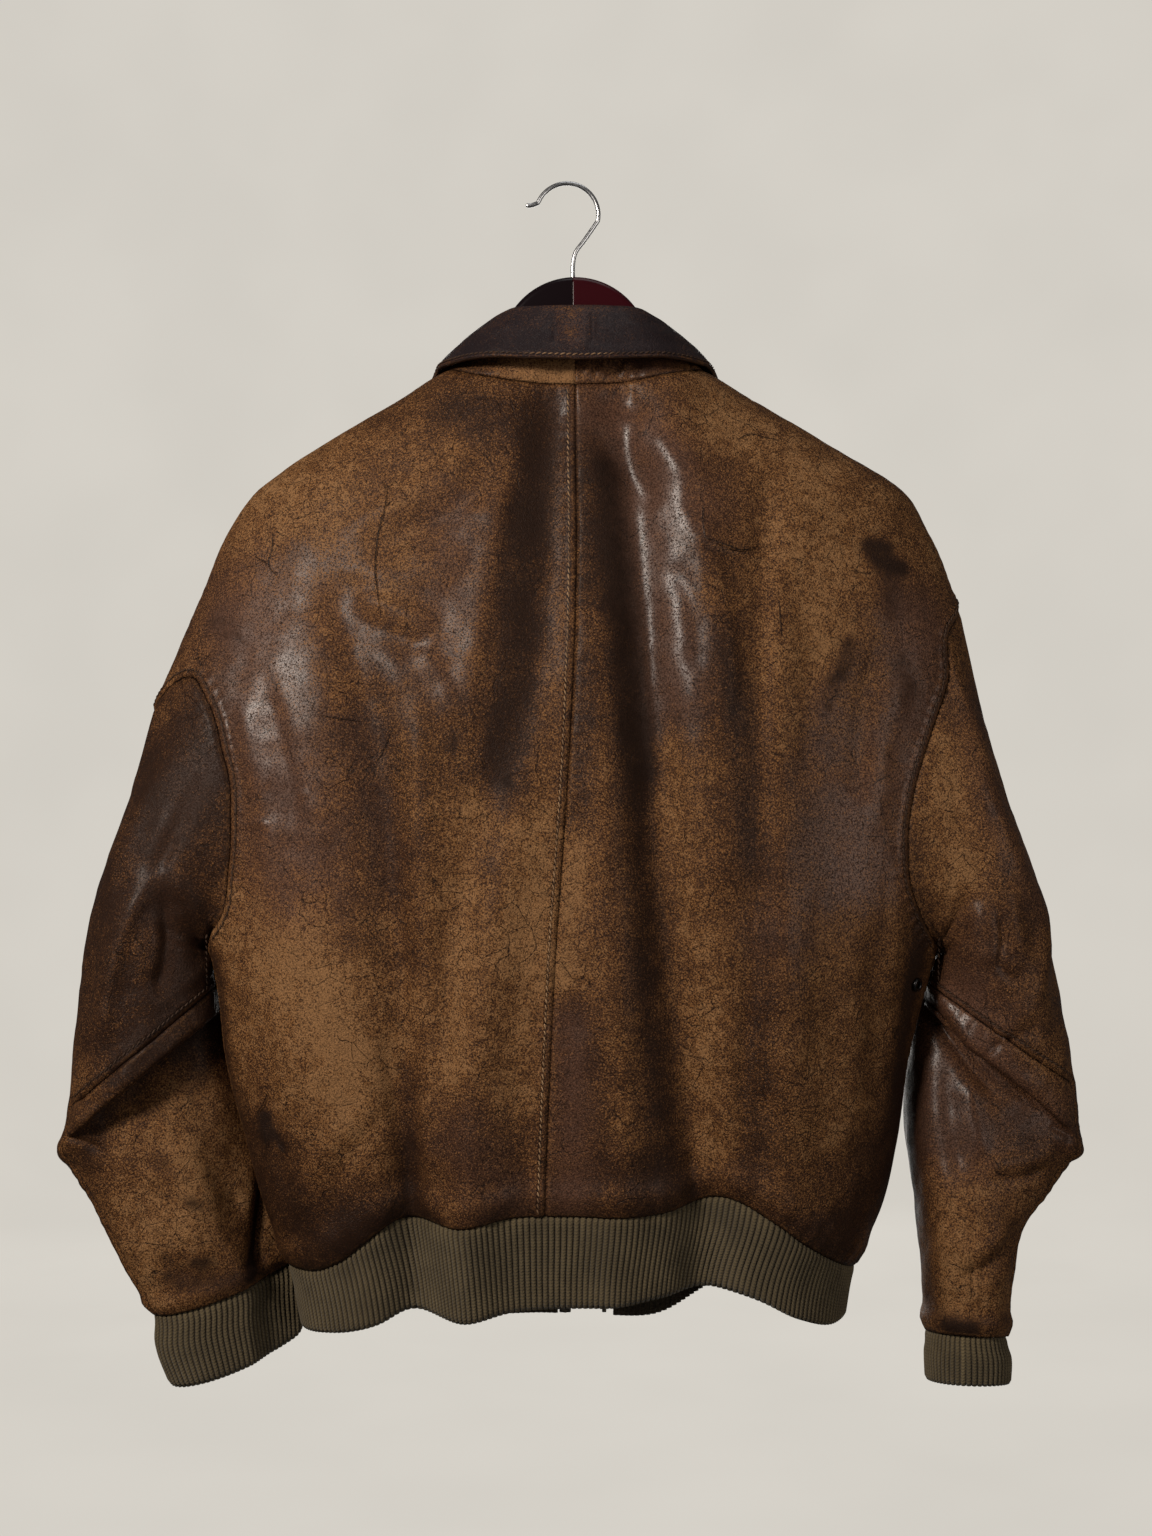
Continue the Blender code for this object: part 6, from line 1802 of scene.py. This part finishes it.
RECIPES = {
    "leather": lambda colours: leather("body leather", body_tones(colours)),
    "sleeve leather": lambda colours: leather("sleeve leather", body_tones(colours), -0.02, 0.07, 0.09),
    "collar leather": lambda colours: leather("collar leather", collar_tones(colours), 0.05, 0.1),
    "knit": knitted,
    "wood": lacquered,
    "steel": lambda colours: metal("hook steel", colours.steel, 0.28, colours.steel),
    "zip metal": lambda colours: metal("zip metal", colours.zip, 0.42, colours.zip_worn),
    "eyelet metal": lambda colours: metal("eyelet metal", colours.zip, 0.25, colours.zip),
    "tape": twill_tape,
    "thread": sewing_thread,
    "copies": lambda colours: copies_tree(),
    "ribs": lambda colours: ribs_tree(),
}


# ---- the stage -----------------------------------------------------------------------------------------
CAMERA_PLACE = (0.0061, -1.45, -0.3958)
FLOOR_Z = -1.25
Lamp = namedtuple("Lamp", "name place aim size power colour")
LAMPS = (
    Lamp("key", (-1.25, -1.5, 0.45), (0.0, 0.0, -0.45), 0.5, 44.0, (1.0, 0.93, 0.84)),
    Lamp("fill", (1.4, -1.6, -0.3), (0.0, 0.0, -0.4), 1.4, 11.0, (1.0, 0.95, 0.88)),
    Lamp("front", (0.0, 2.6, -0.2), (0.0, 0.0, -0.4), 2.2, 36.0, (1.0, 0.97, 0.92)),
    Lamp("top", (0.2, -0.3, 1.5), (0.0, 0.0, -0.4), 1.0, 5.0, (1.0, 1.0, 1.0)),
)


def backdrop():
    """A pale floor that curves up into a wall all round."""
    work = Shading("pale paper", Base_Color=(0.03, 0.03, 0.03, 1.0), Specular_IOR_Level=0.0, Roughness=1.0,
                   Emission_Strength=0.7)
    grain = work.noise(3.0, 2.0, 0.5)
    paper = work.blend(grain.between(-0.3, 0.3), (0.90, 0.855, 0.775), (0.94, 0.893, 0.81))
    work.drive("Emission Color", paper)
    turn = np.radians(np.linspace(0, 90, 12))
    radius = np.concatenate([[0.001, 1.0, 2.0], 2.6 + 0.8 * np.sin(turn), [3.4]])
    height = np.concatenate([[FLOOR_Z] * 3, FLOOR_Z + 0.8 * (1 - np.cos(turn)), [1.8]])
    around = np.radians(np.linspace(0, 360, 73)[:-1])
    points = np.stack(np.broadcast_arrays(radius[:, None] * np.cos(around), radius[:, None] * np.sin(around),
                                          height[:, None]), axis=-1)
    faces = grid_faces(len(height), len(around), True)[:, ::-1]
    sweep = mesh_object("floor_sweep", points.reshape(-1, 3) / MM, faces, work.material)
    sweep.visible_diffuse = False
    sweep.visible_glossy = False


def stage():
    """The floor and its wall, the soft lamps and the camera."""
    scene = bpy.context.scene
    backdrop()
    for lamp in LAMPS:
        light = bpy.data.lights.new(lamp.name, "AREA")
        light.shape, light.size, light.energy, light.color = "DISK", lamp.size, lamp.power, lamp.colour
        thing = link(bpy.data.objects.new(f"{lamp.name}_lamp", light))
        thing.location = lamp.place
        thing.rotation_euler = (Vector(lamp.aim) - Vector(lamp.place)).to_track_quat("-Z", "Y").to_euler()
        thing.visible_camera = False
    world = bpy.data.worlds.new("studio")
    world.use_nodes = True
    light = world.node_tree.nodes["Background"].inputs
    light["Color"].default_value = (1.0, 0.98, 0.95, 1.0)
    light["Strength"].default_value = 0.07
    scene.world = world
    lens = bpy.data.cameras.new("camera")
    lens.lens, lens.sensor_fit, lens.sensor_height = 50, "VERTICAL", 36
    camera = link(bpy.data.objects.new("camera", lens))
    camera.location, camera.rotation_euler = CAMERA_PLACE, (math.pi / 2, 0, 0)
    scene.camera = camera
    scene.view_settings.view_transform = "Standard"


# ---- the sheets' cuts ----------------------------------------------------------------------------------
# The width, length and area of what shows of each sheet, as it was cut, in metres and square metres.
Cut = namedtuple("Cut", "piece width length area hangs_on")


# ---- the add-on ----------------------------------------------------------------------------------------
def colour_of(name, default, about):
    return FloatVectorProperty(name=name, description=about, subtype="COLOR", size=3, min=0.0, max=1.0,
                               default=default)


class JacketColours(bpy.types.PropertyGroup):
    """The colours of the leather, the knit and the hard parts."""

    dark: colour_of("Finish", (0.024, 0.0100, 0.0050), "Leather whose dark finish is whole")
    brown: colour_of("Thin finish", (0.100, 0.041, 0.015), "Leather whose finish is worn thin")
    tan: colour_of("Worn", (0.225, 0.103, 0.035), "Leather rubbed through to its tan")
    pale: colour_of("Worn pale", (0.31, 0.162, 0.070), "Leather rubbed palest")
    # the plum's purple cast is partly a painted reflection of the sheen in the leather's glossy patches
    plum: colour_of("Plum", (0.180, 0.080, 0.046), "The redder of the leathers")
    # also the colour of the painted shade that the stroke tables put in hollows, under folds and at edges
    # that turn away
    grime: colour_of("Grime", (0.014, 0.007, 0.0045), "Stains, and dirt in the seams")
    inside: colour_of("Inside", (0.10, 0.055, 0.03), "The leather's inner side")
    collar: colour_of("Collar", (0.014, 0.009, 0.010), "The collar's dark leather")
    collar_worn: colour_of("Collar worn", (0.035, 0.019, 0.017), "The collar where it is rubbed")
    knit: colour_of("Knit", (0.090, 0.066, 0.034), "Ribbed wool")
    knit_dark: colour_of("Knit dark", (0.058, 0.042, 0.021), "Wool in its darker patches")
    knit_pale: colour_of("Knit pale", (0.150, 0.112, 0.058), "The tops of the wool's stitches")
    knit_shade: colour_of("Knit shade", (0.022, 0.015, 0.009), "Between the ribs")
    wood: colour_of("Wood", (0.028, 0.002, 0.004), "The hanger's lacquer")
    wood_dark: colour_of("Wood dark", (0.005, 0.002, 0.003), "The darker half of the hanger")
    steel: colour_of("Steel", (0.52, 0.52, 0.53), "The hook")
    zip: colour_of("Zip", (0.035, 0.033, 0.033), "Blackened metal")
    zip_worn: colour_of("Zip worn", (0.16, 0.135, 0.10), "Metal where the black is rubbed off")
    tape: colour_of("Tape", (0.035, 0.028, 0.018), "The zip's woven tape")
    tape_worn: colour_of("Tape worn", (0.075, 0.058, 0.037), "The tape where it is rubbed")
    thread: colour_of("Thread", (0.30, 0.18, 0.095), "Sewing thread")
    thread_dark: colour_of("Thread dark", (0.15, 0.082, 0.043), "Thread in its darker stretches")
    thread_grimy: colour_of("Thread grimy", (0.045, 0.024, 0.014), "Thread as dark as the leather round it")


def size_of(name, default, about):
    return FloatProperty(name=name, description=about, unit="LENGTH", min=0.0001, default=default)


class JacketSizes(bpy.types.PropertyGroup):
    """The sizes of what repeats."""

    rib_pitch: size_of("Rib pitch", 0.0038, "From one rib of the knit to the next")
    rib_depth: size_of("Rib depth", 0.0016, "How far a rib stands over the valley beside it")
    stitch_pitch: size_of("Stitch pitch", 0.0040, "From one stitch to the next")
    stitch_width: size_of("Stitch width", 0.0011, "The thread's width")
    tooth_pitch: size_of("Tooth pitch", 0.0026, "From one zip tooth to the next")


class JACKET_OT_panels(bpy.types.Operator):
    """Make the four leather panels of the body"""

    bl_idname = "jacket.panels"
    bl_label = "Body panels"

    def execute(self, context):
        for side in SIDES:
            for front in (False, True):
                body_panel(side, front)
        return {"FINISHED"}


class JACKET_OT_sleeves(bpy.types.Operator):
    """Make the sleeves and their cuffs"""

    bl_idname = "jacket.sleeves"
    bl_label = "Sleeves"

    def execute(self, context):
        for side in SIDES:
            sleeve(side)
        return {"FINISHED"}


class JACKET_OT_collar(bpy.types.Operator):
    """Make the collar's stand and leaf"""

    bl_idname = "jacket.collar"
    bl_label = "Collar"

    def execute(self, context):
        stand()
        leaf()
        return {"FINISHED"}


class JACKET_OT_waistband(bpy.types.Operator):
    """Make the knitted waistband"""

    bl_idname = "jacket.waistband"
    bl_label = "Waistband"

    def execute(self, context):
        waistband()
        return {"FINISHED"}


class JACKET_OT_zip(bpy.types.Operator):
    """Make both sides of the zip, and give its hard parts their metal"""

    bl_idname = "jacket.zip"
    bl_label = "Zip"

    def execute(self, context):
        for side in SIDES:
            zip_side(side)
        metal_nodes()
        return {"FINISHED"}


class JACKET_OT_details(bpy.types.Operator):
    """Make the stitches, the cracks and the eyelet on the leather"""

    bl_idname = "jacket.details"
    bl_label = "Stitches, cracks and eyelet"

    def execute(self, context):
        stitches()
        cracks()
        eyelet()
        return {"FINISHED"}


class JACKET_OT_hanger(bpy.types.Operator):
    """Make the hanger's bar and its hook"""

    bl_idname = "jacket.hanger"
    bl_label = "Hanger"

    def execute(self, context):
        hanger()
        hook()
        return {"FINISHED"}


class JACKET_OT_cuts(bpy.types.Operator):
    """An empty step that makes nothing"""

    bl_idname = "jacket.cuts"
    bl_label = "Cuts of the sheets"

    def execute(self, context):
        return {"FINISHED"}


class JACKET_OT_stage(bpy.types.Operator):
    """Make the floor, the lamps and the camera"""

    bl_idname = "jacket.stage"
    bl_label = "Stage"

    def execute(self, context):
        stage()
        return {"FINISHED"}


STEPS = (JACKET_OT_panels, JACKET_OT_sleeves, JACKET_OT_collar, JACKET_OT_waistband, JACKET_OT_zip,
         JACKET_OT_details, JACKET_OT_hanger, JACKET_OT_cuts, JACKET_OT_stage)


class JACKET_PT_main(bpy.types.Panel):
    """Everything that makes the jacket, in order"""

    bl_label = "Leather jacket"
    bl_space_type = "VIEW_3D"
    bl_region_type = "UI"
    bl_category = "Jacket"

    def draw(self, context):
        for group in (context.scene.jacket_sizes, context.scene.jacket_colours):
            box = self.layout.box()
            for name in group.__annotations__:
                box.prop(group, name)
        for step_class in STEPS:
            self.layout.operator(step_class.bl_idname)


CLASSES = (JacketColours, JacketSizes, *STEPS, JACKET_PT_main)


def register():
    for item in CLASSES:
        bpy.utils.register_class(item)
    bpy.types.Scene.jacket_colours = PointerProperty(type=JacketColours)
    bpy.types.Scene.jacket_sizes = PointerProperty(type=JacketSizes)


def unregister():
    del bpy.types.Scene.jacket_sizes, bpy.types.Scene.jacket_colours
    for item in reversed(CLASSES):
        bpy.utils.unregister_class(item)


def main():
    """Makes every piece in order."""
    register()
    make = bpy.ops.jacket
    for operator in (make.panels, make.sleeves, make.collar, make.waistband, make.zip, make.details,
                     make.hanger, make.cuts, make.stage):
        operator()


if __name__ == "__main__":
    main()
